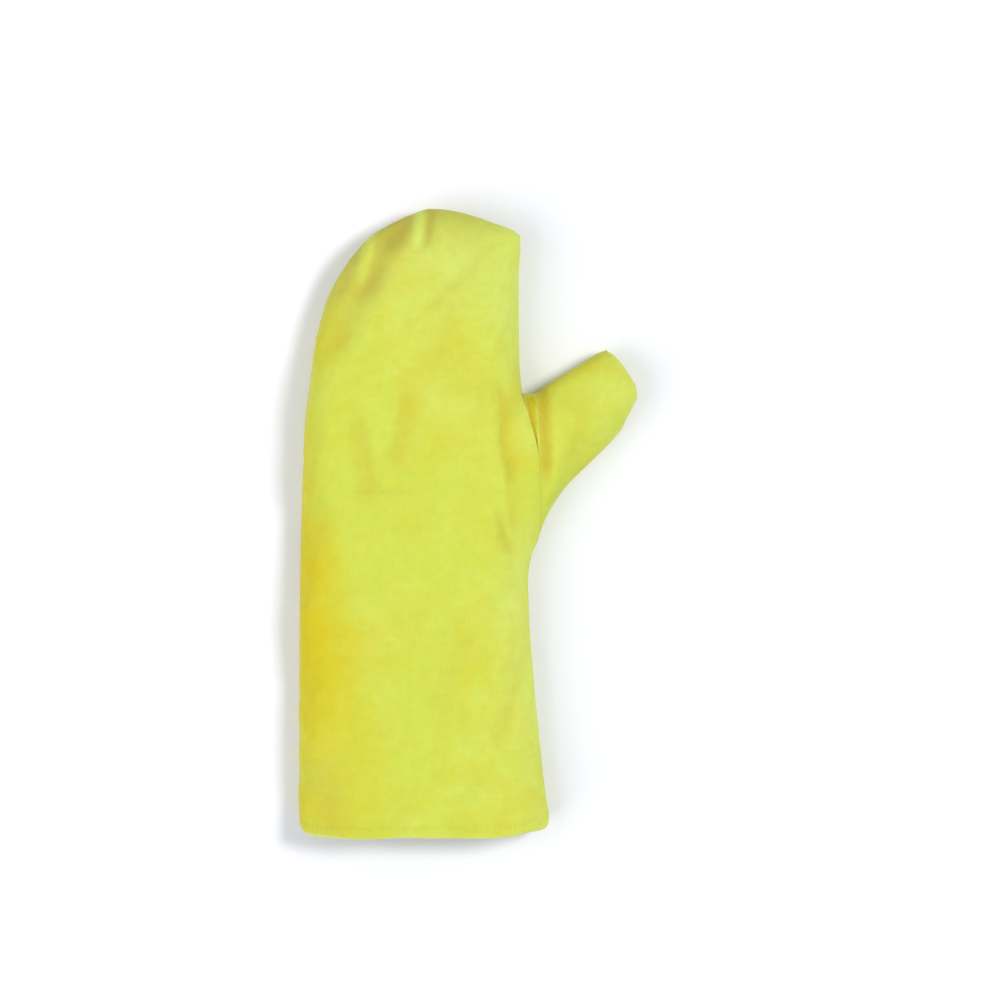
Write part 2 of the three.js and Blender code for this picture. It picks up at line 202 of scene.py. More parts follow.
THUMB_FOLDS = (
    Fold((45.6, 92), (50.6, 26), 3.8, 2.4, 0.85, 0.50),  # valley on the thumb
    Fold((65, 74), (54, 22), 4.5, -1.4, -0.1, -0.25),  # swell on the thumb
    Fold((77, 92), (63, 34), 6.0, 1.2, 0.05, 0.12),  # hollow towards its end
    # The slit is painted deep golden: painted shade under the overhanging edge of the hand.
    Fold((36.2, 95), (44.2, 46), 4.1, 2.8, 3.0, -0.3, 0.05, 0.0, 5.0),  # slit under the edge of the hand
    Fold((41.4, 92), (45.0, 48), 0.9, -1.0, -0.6, -0.7, 0.7),  # ridge beside the slit
    # The bottom of the slit is a painted shadow line along the edge of the hand.
    Fold((34.4, 92), (44.2, 46), 1.0, 0.8, 0.3, 1.0, 0.7),  # bottom of the slit
)


def off_line(flat: np.ndarray, most: float = mm(1.7), scale: float = mm(22)) -> np.ndarray:
    """Moves places a little, so that what is drawn straight over them runs unevenly.

    Args:
        flat: The places seen from above.
        most: How far they may move.
        scale: Over what distance the way they move changes.

    Returns:
        The moved places.
    """
    drift = np.stack([uneven(flat, scale, seed=3.1), uneven(flat, scale, seed=8.7)], axis=-1)
    return flat[..., :2] + most * drift


def tinted_by(folds: tuple[Fold, ...], tone: str, flat: np.ndarray) -> np.ndarray:
    """Gives how much of a tone, golden or dark, folds paint on places seen from above: painted shade in their
    hollows, painted light on their ridges.
    """
    return sum(getattr(fold, tone) * fold.share_at(flat) for fold in folds)


@dataclass(frozen=True)
class Band:
    """How strongly a colouring shows along one side of the hand, and how far in from it, at heights of y."""

    rows: tuple[tuple[float, float, float], ...]

    def share_at(self, y: np.ndarray, inward: np.ndarray) -> np.ndarray:
        """Gives how much of the colouring there is at places.

        Args:
            y: Their y, in metres.
            inward: How far each is from the side, in metres.

        Returns:
            The share at each.
        """
        height, strength, width = (np.array(column) for column in zip(*self.rows))
        reach = np.interp(y, mm(1) * height, mm(1) * width)
        return np.interp(y, mm(1) * height, strength) * (1 - smooth(inward / reach))


# Y, strength and width in from the side. The golden band on the little finger's side is partly the yarn's
# own tint and partly painted shade, where that side turns from the light; the pale band on the other side
# is partly the yarn's own tone and partly painted light, where that side faces the light.
GOLDEN_AND_PAINTED_SHADE_SIDE = Band((
    (-205, 0.50, 88), (-150, 0.60, 86), (-110, 0.75, 74), (-60, 1.00, 56), (-20, 1.00, 40), (20, 0.55, 20),
    (60, 0.25, 20), (90, 0.35, 24), (115, 0.65, 34), (150, 0.30, 26), (205, 0.10, 20),
))
PALE_AND_PAINTED_LIGHT_SIDE = Band((
    (-205, 0.40, 22), (-60, 0.55, 34), (-10, 0.40, 30), (20, 0.10, 12), (84, 0.10, 12), (110, 0.45, 20),
    (180, 0.85, 44), (205, 0.75, 34),
))


def eased(
    before: np.ndarray, after: np.ndarray, leave: np.ndarray, arrive: np.ndarray, share: np.ndarray
) -> np.ndarray:
    """Goes from one value to the next on a cubic curve.

    Args:
        before: The value at the start.
        after: The value at the end.
        leave: The slope at the start.
        arrive: The slope at the end.
        share: How far along to read the curve, from 0 to 1.

    Returns:
        The value there.
    """
    bend, twist = 3 * (after - before) - 2 * leave - arrive, 2 * (before - after) + leave + arrive
    return before + share * (leave + share * (bend + share * twist))


def marks_of(places: np.ndarray) -> np.ndarray:
    """Measures how far along a line each of its places is."""
    return np.concatenate([[0.0], np.cumsum(np.linalg.norm(np.diff(places, axis=0), axis=1))])


class Route:
    """A line on the flat, read by the share of its length from 0 to 1."""

    def __init__(self, places: np.ndarray) -> None:
        """Takes the line's places, close together, in metres."""
        self.places = places
        self.marks = marks_of(places)

    @classmethod
    def through(cls, points: tuple[tuple[float, float], ...]) -> "Route":
        """Draws a smooth curve through points, as a centripetal Catmull-Rom spline.

        Args:
            points: The points, in millimetres.

        Returns:
            The curve.
        """
        knots = np.array(points, float) * mm(1)
        knots = np.vstack([2 * knots[0] - knots[1], knots, 2 * knots[-1] - knots[-2]])
        places = []
        for a, b, c, d in zip(knots[:-3], knots[1:-2], knots[2:-1], knots[3:]):
            before, within, after = (math.sqrt(np.linalg.norm(q - p)) for p, q in ((a, b), (b, c), (c, d)))
            leave = ((b - a) / before - (c - a) / (before + within) + (c - b) / within) * within
            arrive = ((c - b) / within - (d - b) / (within + after) + (d - c) / after) * within
            count = max(8, int(np.linalg.norm(c - b) / mm(0.5)))
            places.append(eased(b, c, leave, arrive, np.linspace(0, 1, count, endpoint=False)[:, None]))
        return cls(np.vstack([*places, knots[-2:-1]]))

    @property
    def length(self) -> float:
        """The line's length."""
        return float(self.marks[-1])

    def at(self, shares: Any) -> np.ndarray:
        """Gives the places at shares of the length."""
        reach = np.asarray(shares) * self.length
        return np.stack([np.interp(reach, self.marks, self.places[:, k]) for k in (0, 1)], axis=-1)

    def drifted(self, shares: np.ndarray, first: np.ndarray, last: np.ndarray) -> np.ndarray:
        """Gives the places at shares of the length when the line's first and last ends drift."""
        part = shares[..., None]
        return self.at(shares) + first * (1 - part) + last * part

    def turned(self) -> "Route":
        """Gives the same line from its other end."""
        return Route(self.places[::-1])

    def after(self, gap: float) -> "Route":
        """Gives the line without its first stretch of that length."""
        rest = self.places[self.marks > gap + SAME_PLACE]
        return Route(np.vstack([self.at(gap / self.length), rest]))

    def then(self, *others: "Route") -> "Route":
        """Gives this line with others joined on behind it."""
        return Route(np.vstack([self.places, *(other.places[1:] for other in others)]))


def smooth(share: np.ndarray) -> np.ndarray:
    """Rises smoothly from 0 to 1 as the share does."""
    held = np.clip(share, 0, 1)
    return held * held * (3 - 2 * held)


def patch(
    start: Route, end: Route, left: Route, right: Route, across: np.ndarray, along: np.ndarray
) -> np.ndarray:
    """Fills the space inside four lines that meet at their ends (a Coons patch).

    Args:
        start: The line at the start, from left to right.
        end: The line at the end, from left to right.
        left: The line on the left, from start to end.
        right: The line on the right, from start to end.
        across: Shares from left to right, as rows and columns.
        along: Shares from start to end, as rows and columns.

    Returns:
        The places, as rows along and columns across.
    """
    u, v = across[..., None], along[..., None]
    ruled = start.at(across) * (1 - v) + end.at(across) * v
    ruled = ruled + left.at(along) * (1 - u) + right.at(along) * u
    low = left.at(0.0) * (1 - u) + right.at(0.0) * u
    high = left.at(1.0) * (1 - u) + right.at(1.0) * u
    return ruled - low * (1 - v) - high * v


@dataclass
class MittenForm:
    """The form of the lying mitten: its outline, and how high the cloth stands inside it."""

    seam_height: float = mm(11)
    top_rounding: float = mm(30)
    under_rounding: float = mm(15)
    tip_lift: float = mm(5)
    lift_from: float = mm(120)
    lift_to: float = mm(200)
    sewn_gap: float = mm(0.04)
    hem_width: float = mm(7)
    run_on: float = mm(300)
    beside_outline: float = mm(6)
    far_points: int = 5
    usual_rise: float = mm(27)
    loft: tuple[tuple[float, float], ...] = ((-205, 23), (-110, 24), (-20, 27), (90, 30), (205, 28))
    crumple: float = mm(1.1)
    crumple_size: tuple[float, float] = (mm(21), mm(52))
    crumple_lean: float = math.radians(22)

    def __post_init__(self) -> None:
        """Draws the lines of the outline."""
        self.little_finger = Route.through(LITTLE_FINGER_SIDE)
        self.fingertip = Route.through(FINGERTIP_EDGE)
        self.index = Route.through(INDEX_SIDE)
        self.thumb_upper = Route.through(THUMB_UPPER_EDGE)
        self.thumb_end = Route.through(THUMB_END)
        self.thumb_lower = Route.through(THUMB_LOWER_EDGE)
        self.wrist = Route.through(WRIST_SIDE)
        self.thumb_seam = Route.through(THUMB_SEAM)

    @cached_property
    def outline(self) -> np.ndarray:
        """The sewn outline as short straight stretches, run on straight beyond the mouth.

        Returns:
            The ends of the stretches.
        """
        whole = self.little_finger.then(
            self.fingertip, self.index, self.thumb_upper, self.thumb_end, self.thumb_lower, self.wrist,
        )
        away = np.array([0, -self.run_on])
        return np.vstack([whole.places[0] + away, whole.places, whole.places[-1] + away])

    def near_seam(self, flat: np.ndarray) -> np.ndarray:
        """Gives how far places are from the sewn outline, smoothed by the angle each stretch is seen under.

        Args:
            flat: Places seen from above.

        Returns:
            The distance of each.
        """
        places = flat.reshape(-1, 2)
        within = self.outline[1:-1:self.far_points]
        near = self.near_line(places, np.vstack([self.outline[:1], within, self.outline[-2:]]))
        beside = near < self.beside_outline
        near[beside] = self.near_line(places[beside], self.outline)
        return near.reshape(flat.shape[:-1])

    @staticmethod
    def near_line(places: np.ndarray, line: np.ndarray) -> np.ndarray:
        """Gives that distance from a line of straight stretches.

        Args:
            places: Places seen from above.
            line: The points between the stretches.

        Returns:
            The distance of each place.
        """
        found = []
        low, high = line[:-1], line[1:]
        stretch = np.linalg.norm(high - low, axis=1)
        tiny = mm(0.0001)
        for some in np.array_split(places, max(1, len(places) * len(line) // PAIRS_AT_ONCE)):
            a, b = low - some[:, None], high - some[:, None]
            cross = np.abs(a[..., 0] * b[..., 1] - a[..., 1] * b[..., 0])
            dot = (a * b).sum(-1)
            away = cross / stretch
            in_line = away < tiny
            on_it = (in_line & (dot <= 0)).any(1)
            angle = np.arctan2(cross, dot) / np.maximum(away, tiny)
            seen = np.where(in_line, stretch / np.maximum(np.abs(dot), tiny * tiny), angle)
            found.append(np.where(on_it, 0.0, math.pi / seen.sum(1)))
        return np.concatenate(found)

    def seam_at(self, flat: np.ndarray) -> np.ndarray:
        """Gives the height of the side seams abreast of places; they curl up at the fingertips."""
        curl = smooth((flat[..., 1] - self.lift_from) / (self.lift_to - self.lift_from))
        return self.seam_height + self.tip_lift * curl

    def rise_at(self, flat: np.ndarray) -> np.ndarray:
        """Gives how far the upper cloth stands above the side seams abreast of places.

        Args:
            flat: The places on the flat.

        Returns:
            The rise at each, where the cloth stands highest.
        """
        along, rise = (np.array(column) * mm(1) for column in zip(*self.loft))
        y = np.clip(flat[..., 1], along[0], along[-1])
        row = np.clip(np.searchsorted(along, y), 1, len(along) - 1)
        share = smooth((y - along[row - 1]) / (along[row] - along[row - 1]))
        return rise[row - 1] * (1 - share) + rise[row] * share

    def rounding(self, side: Side) -> float:
        """Gives how far in from a seam the cloth of a side goes on rounding off."""
        return self.top_rounding if side is Side.UPPER else self.under_rounding

    def height(self, flat: np.ndarray, side: Side) -> np.ndarray:
        """Gives how far the level cloth of a side is from the height of the seams."""
        return self.rise_at(flat) if side is Side.UPPER else np.full(flat.shape[:-1], self.seam_height)

    def stand(self, flat: np.ndarray, near: np.ndarray, side: Side, folds: np.ndarray) -> np.ndarray:
        """Gives places of the cloth their height.

        Args:
            flat: The places seen from above.
            near: How far each is from the sewn outline.
            side: Whether the cloth is the upper or the lower one.
            folds: How deep the folds are there.

        Returns:
            The places in space.
        """
        share = np.sqrt(1 - (1 - np.clip(near / self.rounding(side), 0, 1)) ** 2)
        z = self.seam_at(flat) + side.value * (self.height(flat, side) * share + self.sewn_gap / 2)
        if side is Side.UPPER:
            z = z - folds
        return np.concatenate([flat, np.maximum(z, 0)[..., None]], axis=-1)

    def folds_at(
        self, flat: np.ndarray, near: np.ndarray, folds: tuple[Fold, ...], ramp: float = mm(7)
    ) -> np.ndarray:
        """Gives how deep folds are at places; they die out at the outline.

        Args:
            flat: The places seen from above.
            near: How far each is from the sewn outline.
            folds: The folds.
            ramp: How far in from the outline they are whole.

        Returns:
            The depth at each.
        """
        cos, sin = math.cos(self.crumple_lean), math.sin(self.crumple_lean)
        aslant = flat @ np.array([[cos, sin], [-sin, cos]]) / self.crumple_size
        depth = sum(mm(fold.depth) * fold.share_at(flat) for fold in folds)
        return (depth + self.crumple * uneven(aslant, 1.0, seed=5.3)) * smooth(near / ramp)

    def line_above(self, mouth: Route, height: float, shares: np.ndarray) -> np.ndarray:
        """Gives places on the line across the cuff at some height above its mouth.

        Args:
            mouth: The mouth's edge, from the little finger's side to the other.
            height: How far above it.
            shares: Shares of the mouth's length.

        Returns:
            The places seen from above.
        """
        left, right = self.little_finger, self.wrist.turned()
        drifts = [side.at(height / side.length) - side.at(0.0) for side in (left, right)]
        return mouth.drifted(shares, *drifts)


@dataclass(frozen=True)
class Spacing:
    """How close together the grid lines of a cloth lie, measured over the cloth."""

    step: float
    rim: tuple[float, ...] = (0.0,)

    def beside(self, rounding: float, height: float, rounded: bool = True) -> np.ndarray:
        """Gives lines beside a seam.

        Args:
            rounding: How far in from the seam the cloth goes on rounding off.
            height: How far it rises or falls over that.
            rounded: Whether it does round off there, so that the lines crowd at the seam seen from above.

        Returns:
            Their distances from the seam seen from above.
        """
        quarter = math.pi / 2 * math.hypot(rounding, height) / math.sqrt(2)
        count = max(3, round((quarter - self.rim[-1]) / self.step))
        over = np.concatenate([self.rim, np.linspace(self.rim[-1], quarter, count + 1)[1:]]) / quarter
        return rounding * (1 - np.cos(over * math.pi / 2) if rounded else over)

    def shares(self, length: float, start: np.ndarray, end: np.ndarray) -> np.ndarray:
        """Spreads lines over a length.

        Args:
            length: The whole length.
            start: Lines near its start, as distances from it.
            end: Lines near its end, as distances from that.

        Returns:
            The lines, as shares of the length from 0 to 1.
        """
        low, high = start[-1], length - end[-1]
        count = max(1, round((high - low) / self.step))
        between = np.linspace(low, high, count + 1)
        return np.concatenate([start[:-1], between, (length - end[:-1])[::-1]]) / length


RIM_LINES = tuple(mm(d) for d in (0, 0.4, 0.85, 1.4, 2.1, 3.1))
FINE = Spacing(mm(2.4), RIM_LINES)
COARSE = Spacing(mm(5.5))
BARE_END = np.zeros(1)


def lengths_along(grid: np.ndarray, axis: int) -> np.ndarray:
    """Measures a grid of places along its lines.

    Args:
        grid: Places as rows and columns.
        axis: 0 to measure along columns, 1 along rows.

    Returns:
        The distance of each place from the start of its line.
    """
    steps = np.linalg.norm(np.diff(grid, axis=axis), axis=-1)
    lead = np.zeros_like(np.take(steps, [0], axis=axis))
    return np.cumsum(np.concatenate([lead, steps], axis=axis), axis=axis)


def from_border(grid: np.ndarray, border: Border) -> tuple[np.ndarray, np.ndarray]:
    """Measures a grid of places from one of its borders.

    Args:
        grid: Places as rows and columns.
        border: Which border.

    Returns:
        How far each place is from the border, and how far along the border.
    """
    by_column = border in (Border.LEFT, Border.RIGHT)
    lengths, beside = lengths_along(grid, int(by_column)), lengths_along(grid, int(not by_column))
    last = border in (Border.RIGHT, Border.END)
    line = [-1 if last else 0]
    whole = np.take(lengths, [-1], axis=int(by_column))
    away = whole - lengths if last else lengths
    return away, np.broadcast_to(np.take(beside, line, axis=int(by_column)), away.shape)


def round_the_edge(grid: np.ndarray, border: Border, along: np.ndarray) -> np.ndarray:
    """Turns distances along a border into distances on one line round the left, end and right borders.

    Args:
        grid: Places as rows and columns.
        border: Which border.
        along: Distances along it.

    Returns:
        The distances on that line, so that evenly spaced stitches go on round the corners.
    """
    left, end, right = (
        from_border(grid, side)[1].max() for side in (Border.LEFT, Border.END, Border.RIGHT)
    )
    before, way = {
        Border.START: (0.0, -1),
        Border.LEFT: (0.0, 1),
        Border.END: (left, 1),
        Border.RIGHT: (left + end + right, -1),
    }[border]
    return before + way * along


def normals_of(grid: np.ndarray) -> np.ndarray:
    """Gives the direction in which a grid of places faces: the way its columns run, turned to its rows."""
    facing = np.cross(np.gradient(grid, axis=1), np.gradient(grid, axis=0))
    return facing / np.maximum(np.linalg.norm(facing, axis=-1, keepdims=True), 1e-12)


def refined(
    values: np.ndarray, known: tuple[np.ndarray, np.ndarray], wanted: tuple[np.ndarray, np.ndarray]
) -> np.ndarray:
    """Reads a coarse grid's vectors on a finer grid, along smooth curves through them.

    Args:
        values: Vectors as rows and columns.
        known: The shares along and across at which they are known.
        wanted: The shares along and across at which they are wanted.

    Returns:
        The vectors on the finer grid.
    """
    for _ in range(2):
        around = (values[:-2, 1:-1] + values[2:, 1:-1] + values[1:-1, :-2] + values[1:-1, 2:]) / 4
        values[1:-1, 1:-1] = (values[1:-1, 1:-1] + around) / 2
    for axis in (0, 1):
        slopes = np.gradient(values, known[axis], axis=axis)
        place = np.clip(np.searchsorted(known[axis], wanted[axis]), 1, len(known[axis]) - 1)
        low, high = known[axis][place - 1], known[axis][place]
        shape = [1, 1, 1]
        shape[axis] = -1
        gap = (high - low).reshape(shape)
        t = (wanted[axis] - low).reshape(shape) / gap
        before, after = (np.take(values, row, axis=axis) for row in (place - 1, place))
        leave, arrive = (np.take(slopes, row, axis=axis) * gap for row in (place - 1, place))
        values = eased(before, after, leave, arrive, t)
    return values


def linked(name: str, data: Any) -> bpy.types.Object:
    """Puts an object with that data into the scene.

    Args:
        name: The object's name.
        data: Its mesh, light or camera.

    Returns:
        The object.
    """
    thing = bpy.data.objects.new(name, data)
    bpy.context.scene.collection.objects.link(thing)
    return thing


def object_of(bm: bmesh.types.BMesh, name: str) -> bpy.types.Object:
    """Turns a finished mesh into an object in the scene.

    Args:
        bm: The mesh, which is freed.
        name: The object's name.

    Returns:
        The object.
    """
    mesh = bpy.data.meshes.new(name)
    bm.to_mesh(mesh)
    bm.free()
    return linked(name, mesh)


def grid_mesh(rows: int, columns: int) -> tuple[bmesh.types.BMesh, bmesh.types.BMLayerItem]:
    """Makes a flat grid whose vertices know their place in it.

    Args:
        rows: Vertices along.
        columns: Vertices across.

    Returns:
        The mesh, and the layer that holds each vertex's row times columns plus column.
    """
    bm = bmesh.new()
    bmesh.ops.create_grid(bm, x_segments=columns - 1, y_segments=rows - 1, size=0.5)
    place = bm.verts.layers.int.new("place")
    for vert in bm.verts:
        column = round((vert.co.x + 0.5) * (columns - 1))
        row = round((vert.co.y + 0.5) * (rows - 1))
        vert[place] = row * columns + column
    return bm, place


@dataclass(frozen=True)
class Settling:
    """How cloth settles: it grows a little between its seams and buckles under a light pressure."""

    frames: int = 20
    growth: float = 0.012
    pressure: float = 0.5
    stiffness: float = 12.0
    bending: float = 4.0
    quality: int = 6
    mass: float = 0.4
    damping: float = 3.0
    most: float = mm(3)

    def run(self, name: str, grid: np.ndarray) -> np.ndarray:
        """Settles a grid of places whose borders are held.

        Args:
            name: What to call the cloth.
            grid: Its places, as rows and columns.

        Returns:
            How far each place moved.
        """
        rows, columns = grid.shape[:2]
        bm, place = grid_mesh(rows, columns)
        order = np.array([vert[place] for vert in bm.verts])
        for vert in bm.verts:
            vert.co = grid.reshape(-1, 3)[vert[place]]
        cloth = object_of(bm, name)
        row, column = np.divmod(order, columns)
        border = (row == 0) | (row == rows - 1) | (column == 0) | (column == columns - 1)
        held = cloth.vertex_groups.new(name="held")
        held.add([int(k) for k in np.flatnonzero(border)], 1.0, "REPLACE")
        moved = self.simulate(cloth) - grid.reshape(-1, 3)[order]
        bpy.data.objects.remove(cloth)
        length = np.linalg.norm(moved, axis=1, keepdims=True)
        LOG.info("%s settled by %.1f mm at most", name, length.max() / mm(1))
        moved = moved * self.most * np.tanh(length / self.most) / np.maximum(length, 1e-9)
        result = np.zeros((rows * columns, 3))
        result[order] = moved
        return result.reshape(grid.shape)

    def simulate(self, cloth: bpy.types.Object) -> np.ndarray:
        """Runs the cloth simulation on a mesh, and reads where its vertices end up.

        Args:
            cloth: The mesh's object.

        Returns:
            The vertices' places.
        """
        scene = bpy.context.scene
        modifier = cloth.modifiers.new("settle", "CLOTH")
        settings = modifier.settings
        settings.quality = self.quality
        settings.mass = self.mass
        settings.tension_stiffness = settings.compression_stiffness = self.stiffness
        settings.shear_stiffness = self.stiffness / 2
        settings.bending_stiffness = self.bending
        settings.air_damping = self.damping
        settings.shrink_min = -self.growth
        settings.use_pressure = True
        settings.uniform_pressure_force = self.pressure
        settings.vertex_group_mass = "held"
        settings.effector_weights.gravity = 0.0
        modifier.collision_settings.use_collision = False
        modifier.point_cache.frame_end = self.frames
        for step in range(1, self.frames + 1):
            scene.frame_set(step)
        shown = cloth.evaluated_get(bpy.context.evaluated_depsgraph_get())
        places = np.zeros(len(shown.data.vertices) * 3)
        shown.data.vertices.foreach_get("co", places)
        scene.frame_set(1)
        return places.reshape(-1, 3)


# Length in millimetres, strength, and how the seed shifts it; the long wave calms the others in places
GATHER_WAVES = ((12.3, 1.0, 1.0), (18.7, 0.8, 2.1), (8.1, 0.5, 3.7))
LONG_WAVE = (71, 0.4, 1.3)
WAVES_AT_MOST = 1.8


def waves(along: np.ndarray, seed: float) -> np.ndarray:
    """Gives the uneven ripple of cloth that is gathered along a seam.

    Args:
        along: Distances along the seam.
        seed: A number that tells one seam's ripple from another's.

    Returns:
        The ripple, from about -1 to 1.
    """
    turns = along / mm(1) * 2 * math.pi
    *ripples, swell = (
        strength * np.sin(turns / length + shift * seed)
        for length, strength, shift in (*GATHER_WAVES, LONG_WAVE)
    )
    return sum(ripples) * (1 - LONG_WAVE[1] + swell) / WAVES_AT_MOST


@dataclass(frozen=True)
class Rim:
    """One border of a piece of cloth: how far its edge is rolled in and gathered, and a painted highlight, a
    pale line, along it.

    On the stretch of it that is sewn flat, most of the roll is gone, and neither stitches nor the painted
    highlight show.
    """

    border: Border
    seed: float
    roll: float = mm(0.8)
    gather: float = mm(0.2)
    roll_reach: float = mm(2.6)
    gather_reach: float = mm(5.5)
    sewn_flat: tuple[float, float] = (mm(-20), mm(-10))
    flattened: float = 0.8
    ease: float = mm(5)
    hidden: float = mm(4)
    # A painted highlight: a pale line along the rim, fading over the next distance.
    painted_rim_highlight: float = 0.45
    rim_highlight_reach: float = mm(0.7)

    def gathers(self, away: np.ndarray, along: np.ndarray) -> np.ndarray:
        """Gives how far the gathers lift the cloth at distances away from the rim and along it."""
        reach = away / self.gather_reach
        return self.gather * reach * np.exp(1 - reach) * waves(along, self.seed)

    def flatness(self, along: np.ndarray) -> np.ndarray:
        """Gives how flat the rim is sewn at distances along it, from 0 to 1."""
        low, high = self.sewn_flat
        return smooth((along - low) / self.ease + 1) * smooth((high - along) / self.ease + 1)

    def rolled(self, away: np.ndarray, along: np.ndarray) -> np.ndarray:
        """Gives how far the cloth dips at distances away from the rim and along it."""
        rolling = 1 - self.flattened * self.flatness(along)
        return self.roll * rolling * (1 - np.clip(away / self.roll_reach, 0, 1)) ** 2


@dataclass
class ClothGrid:
    """A piece of cloth as a grid of places, with what its surface needs to know."""

    settled: np.ndarray
    facing: np.ndarray
    outer: np.ndarray
    inner: np.ndarray
    pattern: np.ndarray
    seam_away: np.ndarray
    seam_along: np.ndarray
    tones: dict[str, np.ndarray]


@dataclass
class ClothMesh:
    """A mesh of cloth under construction, with its layers."""

    bm: bmesh.types.BMesh
    place: bmesh.types.BMLayerItem

    def dress(self, cloth: ClothGrid) -> None:
        """Gives the mesh its pattern coordinates, seam distances and colouring.

        Args:
            cloth: The grid that they come from.
        """
        uv = self.bm.loops.layers.uv.new("pattern")
        pattern = cloth.pattern.reshape(-1, 2)
        columns = {"seam_away": cloth.seam_away, "seam_along": cloth.seam_along, **cloth.tones}
        for name, values in columns.items():
            layer = self.bm.verts.layers.float.new(name)
            known = values.ravel()
            for vert in self.bm.verts:
                vert[layer] = known[vert[self.place]]
        for face in self.bm.faces:
            face.smooth = True
            for loop in face.loops:
                loop[uv].uv = pattern[loop.vert[self.place]]

    def finish(self, name: str, sharp: float = math.radians(55)) -> bpy.types.Object:
        """Makes the mesh an object that rides on the mitten.

        Args:
            name: The piece's name.
            sharp: Edges that turn by more than this are sharp.

        Returns:
            The piece.
        """
        for edge in self.bm.edges:
            edge.smooth = edge.calc_face_angle(0.0) < sharp
        piece = object_of(self.bm, name)
        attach(piece, BODY)
        LOG.info("%s has %d faces", name, len(piece.data.polygons))
        return piece


def wall_object(name: str, cloth: ClothGrid) -> bpy.types.Object:
    """Makes the closed wall of a piece of cloth.

    Args:
        name: The piece's name.
        cloth: Its grid.

    Returns:
        The piece, which rides on the mitten.
    """
    rows, columns = cloth.outer.shape[:2]
    bm, place = grid_mesh(rows, columns)
    grown = bmesh.ops.extrude_face_region(bm, geom=bm.faces[:], use_keep_orig=True)
    outer_verts = {item for item in grown["geom"] if isinstance(item, bmesh.types.BMVert)}
    outer, inner = cloth.outer.reshape(-1, 3), cloth.inner.reshape(-1, 3)
    for vert in bm.verts:
        vert.co = (outer if vert in outer_verts else inner)[vert[place]]
    bmesh.ops.recalc_face_normals(bm, faces=bm.faces[:])
    mesh = ClothMesh(bm, place)
    mesh.dress(cloth)
    return mesh.finish(name)


FAR_FROM_SEAMS = mm(500)


@dataclass
class SewnCloth(ABC):
    """What each sewn piece of cloth has: a form to lie on, a thickness, and a way to settle."""

    form: MittenForm
    thickness: float = mm(2.4)
    settling: Settling = field(default_factory=Settling)

    def pattern_of(self, places: np.ndarray, facing: np.ndarray, near: np.ndarray, side: Side) -> np.ndarray:
        """Unrolls the rounded sides of the cloth onto the flat, so that its weave isn't stretched there.

        Args:
            places: The places of the cloth.
            facing: The direction in which each faces.
            near: How far each is from the sewn outline seen from above.
            side: Whether it is the upper or the lower cloth.

        Returns:
            Each place on the flat cut.
        """
        rounding = self.form.rounding(side)
        turned = np.arccos(1 - np.clip(near / rounding, 0, 1))
        radius = np.hypot(rounding, self.form.height(places, side)) / math.sqrt(2)
        excess = radius * (math.pi / 2 - turned) - np.clip(rounding - near, 0, None)
        out = facing[..., :2] / np.maximum(np.linalg.norm(facing[..., :2], axis=-1, keepdims=True), 1e-6)
        return places[..., :2] + out * excess[..., None]

    @abstractmethod
    def lay_out(self, spacing: Spacing) -> tuple[np.ndarray, np.ndarray]:
        """Lays the cloth out: gives its places, and how far each is from the sewn outline from above."""

    @abstractmethod
    def lines(self, spacing: Spacing) -> tuple[np.ndarray, np.ndarray]:
        """Gives the shares of the grid lines along and across the laid out cloth."""

    def settled(self, name: str) -> tuple[np.ndarray, np.ndarray]:
        """Lays the cloth out and lets it settle.

        Args:
            name: What to call it.

        Returns:
            The places in space, and how far each is from the sewn outline seen from above.
        """
        coarse, _ = self.lay_out(COARSE)
        base, near = self.lay_out(FINE)
        base = base + refined(self.settling.run(name, coarse), self.lines(COARSE), self.lines(FINE))
        base[..., 2] = np.maximum(base[..., 2], 0)
        return base, near

    def finish_grid(
        self, base: np.ndarray, near: np.ndarray, side: Side, tones: dict[str, np.ndarray],
        rims: tuple[Rim, ...],
    ) -> ClothGrid:
        """Gathers the cloth along its rims, rolls them in and gives it its thickness.

        Args:
            base: The settled places.
            near: How far each is from the sewn outline seen from above.
            side: Whether it is the upper or the lower cloth.
            tones: How golden, pale and dark the cloth is painted, partly its own tone and partly painted
                shade and painted light.
            rims: Its sewn borders.

        Returns:
            The cloth.
        """
        facing = normals_of(base)
        lift, dip, painted_rim_highlight = (np.zeros(near.shape) for _ in range(3))
        seam_away, seam_along = np.full(near.shape, FAR_FROM_SEAMS), np.zeros(near.shape)
        for rim in rims:
            away, along = from_border(base, rim.border)
            lift += rim.gathers(away, along)
            dip = np.maximum(dip, rim.rolled(away, along))
            away = away + rim.hidden * rim.flatness(along)
            # A painted highlight: a pale line along each rim.
            painted_rim_highlight = np.maximum(painted_rim_highlight, rim.painted_rim_highlight * np.exp(-away / rim.rim_highlight_reach))
            closer = away < seam_away
            seam_away = np.where(closer, away, seam_away)
            seam_along = np.where(closer, round_the_edge(base, rim.border, along), seam_along)
        settled = base + facing * lift[..., None]
        settled[..., 2] = np.maximum(settled[..., 2], 0)
        facing = normals_of(settled)
        return ClothGrid(
            settled=settled,
            facing=facing,
            outer=settled - facing * dip[..., None],
            inner=settled - facing * self.thickness,
            pattern=self.pattern_of(settled, facing, near, side),
            seam_away=seam_away,
            seam_along=seam_along,
            tones={name: np.clip(tone, 0, 1) for name, tone in {**tones, "painted_rim_highlight": painted_rim_highlight}.items()},
        )


